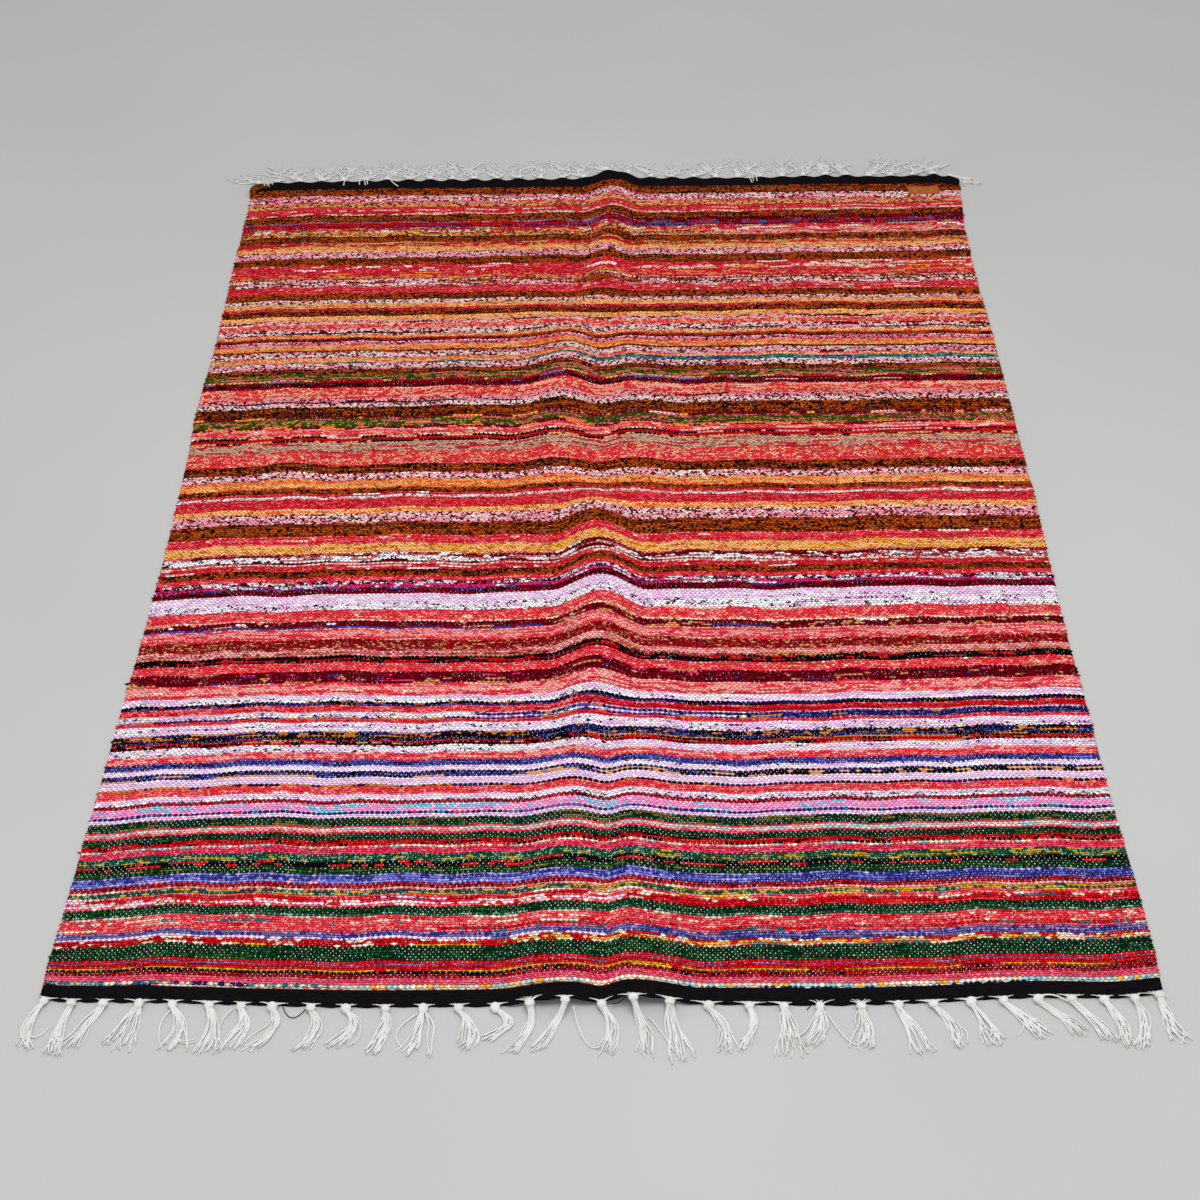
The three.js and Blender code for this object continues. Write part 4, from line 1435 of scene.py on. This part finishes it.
near_heading = heading("near_heading_cloth", 0.0, -1, 2.2, 0.0, 0.8, near_tassels["across"])
far_heading = heading(
    "far_heading_cloth", cloth_length - heading_depth, 1, -1.6, 5.0, 3.2, far_tassels["across"])
near_loose = np.concatenate([lying(near_strays, (3.5, 1.2, 1.2)), lying(near_arch, (6.5, 8.0, 3.0))])
near_fringe = fringe("near_fringe_yarns", near_tassels, -1, near_lie, 0.8, near_loose)
far_loose = lying(far_strays, (11.0, 14.5, 5.3))
far_fringe = fringe("far_fringe_yarns", far_tassels, 1, far_lie, 3.5, far_loose)
for piece, node, slot in (
    (near_heading, "near_heading", "black_heading"),
    (far_heading, "far_heading", "black_heading"),
    (near_fringe, "near_fringe", "white_fringe"),
    (far_fringe, "far_fringe", "white_fringe"),
):
    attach(piece, "root")
    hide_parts(node)


# The leather patch: a blank tan plate with rounded corners, sewn on beside the far heading with a few
# stitches of tan thread at each short end.
leather_finish = Finish("tan leather", roughness=0.6, gloss=0.2)
grain = leather_finish.cloud(0.0012, detail=4.0).ramp(0.3, 0.7)
stain = leather_finish.cloud(0.012).ramp(0.3, 0.7)
leather_hue = leather_finish.blend(stain, linear(196, 106, 34), linear(168, 84, 24))
leather_finish.colour(leather_finish.blend(1.0, leather_hue, grain * 0.3 + 0.78, how="MULTIPLY"))
leather_finish.relief(grain, 0.0003)


plate_sides = 48
plate_levels = 5


def plate(name, low, high, corner, edge):
    """A plate with rounded corners and edges, as stacked outlines: each is the rounded rectangle, drawn
    in and raised along the quarter round of its edge, and a centre point closes the top and bottom."""
    turn = np.linspace(0, 2 * math.pi, plate_sides, endpoint=False)
    round_way = np.stack([np.cos(turn), np.sin(turn)], axis=-1)
    quarter = np.sign(np.round(round_way, 6))
    middle = (np.array(low) + np.array(high)) / 2
    half = (np.array(high) - np.array(low)) / 2
    straight = quarter * (half[:2] - corner)
    arc = np.linspace(0, math.pi / 2, plate_levels)
    inset = np.concatenate([edge * (1 - np.sin(arc)), edge * (1 - np.cos(arc))])
    lift = np.concatenate([low[2] + edge * (1 - np.cos(arc)), high[2] - edge * (1 - np.sin(arc))])
    ring = straight + round_way * (corner - inset)[:, None, None]
    points = np.concatenate([
        np.broadcast_to(middle[:2], ring.shape) + ring,
        np.broadcast_to(lift[:, None, None], (*ring.shape[:2], 1)),
    ], axis=-1).reshape(-1, 3)
    points = np.concatenate([points, [(*middle[:2], low[2]), (*middle[:2], high[2])]])
    sides, levels = len(turn), len(lift)
    here = np.arange(sides)
    onward = (here + 1) % sides
    level_start = np.arange(levels - 1)[:, None] * sides
    quads = np.stack([
        level_start + here,
        level_start + onward,
        level_start + sides + onward,
        level_start + sides + here,
    ], axis=-1).reshape(-1, 4)
    top_start = (levels - 1) * sides
    under_cap = np.stack([np.full(sides, levels * sides), onward, here], axis=1)
    top_cap = np.stack([np.full(sides, levels * sides + 1), top_start + here, top_start + onward], axis=1)
    return fill_mesh(name, points, [quads, np.concatenate([under_cap, top_cap])], {})


patch = add_object(
    "patch_leather",
    plate("patch_leather", patch_low, patch_high, corner=1.8 * MM, edge=0.5 * MM),
    leather_finish,
)
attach(patch, "root")
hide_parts("leather_patch")


def stitch_paths(box_low, box_high, count):
    """Short stitches over both short ends of the patch, into the cloth beside it."""
    height = box_high[2] + 0.1 * MM
    places = np.linspace(box_low[1], box_high[1], count + 2)[1:-1]
    paths = []
    for edge, way in ((box_low[0], -1), (box_high[0], 1)):
        for y in places:
            paths.append([
                (edge - way * 2.6 * MM, y, height - 0.9 * MM),
                (edge - way * 2.0 * MM, y, height),
                (edge + way * 0.3 * MM, y + 0.2 * MM, height),
                (edge + way * 1.6 * MM, y + 0.3 * MM, height - 1.6 * MM),
            ])
    return np.array(paths)


# The small loose things: stitches on the patch, a bit of white thread that lies on the cloth, black
# thread ends at the near heading, and brown weft that curls over the far left corner.
tan_thread = mottled(
    "tan thread", linear(196, 120, 58), linear(150, 82, 34), lump=0.0008, roughness=0.8, gloss=0.2)
black_thread = mottled(
    "black thread", linear(14, 12, 14), linear(34, 31, 33), lump=0.0008, roughness=0.9, gloss=0.1)
brown_pile = mottled(
    "brown chenille", linear(160, 84, 26), linear(40, 14, 6),
    lump=0.0040, low=0.4, high=0.6, roughness=0.95, gloss=0.03)
brown_pile.relief(brown_pile.cloud(0.0015), 0.0008)

stitches = stitch_paths(patch_low, patch_high, 4)
lint_thread = lying(np.array([(-57, 652, -54, 658, -47, 663)]), (4.6, 5.6, 4.6))
thread_ends = lying(np.array([
    (-393, -2, -380, -36, -362, -3),
    (17, -5, 27, -6, 37, 0),
    (257, -8, 260, -5, 263, 0),
]), (1.5, 0.8, 2.0))
corner_weft = lying(np.array([
    (-701, 1962, -708, 1990, -690, 1999),
    (-699, 1966, -700, 1992, -680, 1991),
    (-697, 1970, -692, 1986, -668, 1984),
    (-700, 1950, -704, 1978, -694, 1984),
    (-698, 1968, -699, 1988, -688, 1992),
]), (3.5, 9.0, 8.0))
for name, paths, thickness, sides, finish, slot in (
    ("patch_stitches", stitches, 0.45, 5, tan_thread, "tan_leather"),
    ("lint_thread", lint_thread, 0.6, 5, cotton_finish, "white_fringe"),
    ("black_thread_ends", thread_ends, 0.55, 5, black_thread, "black_heading"),
    ("corner_weft", corner_weft, 2.3, 8, brown_pile, "woven_field"),
):
    radius = np.full(paths.shape[:2], thickness * MM)
    piece = add_object(name, bundle(name, [tubes(paths, radius, sides)]), finish)
    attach(piece, "root")
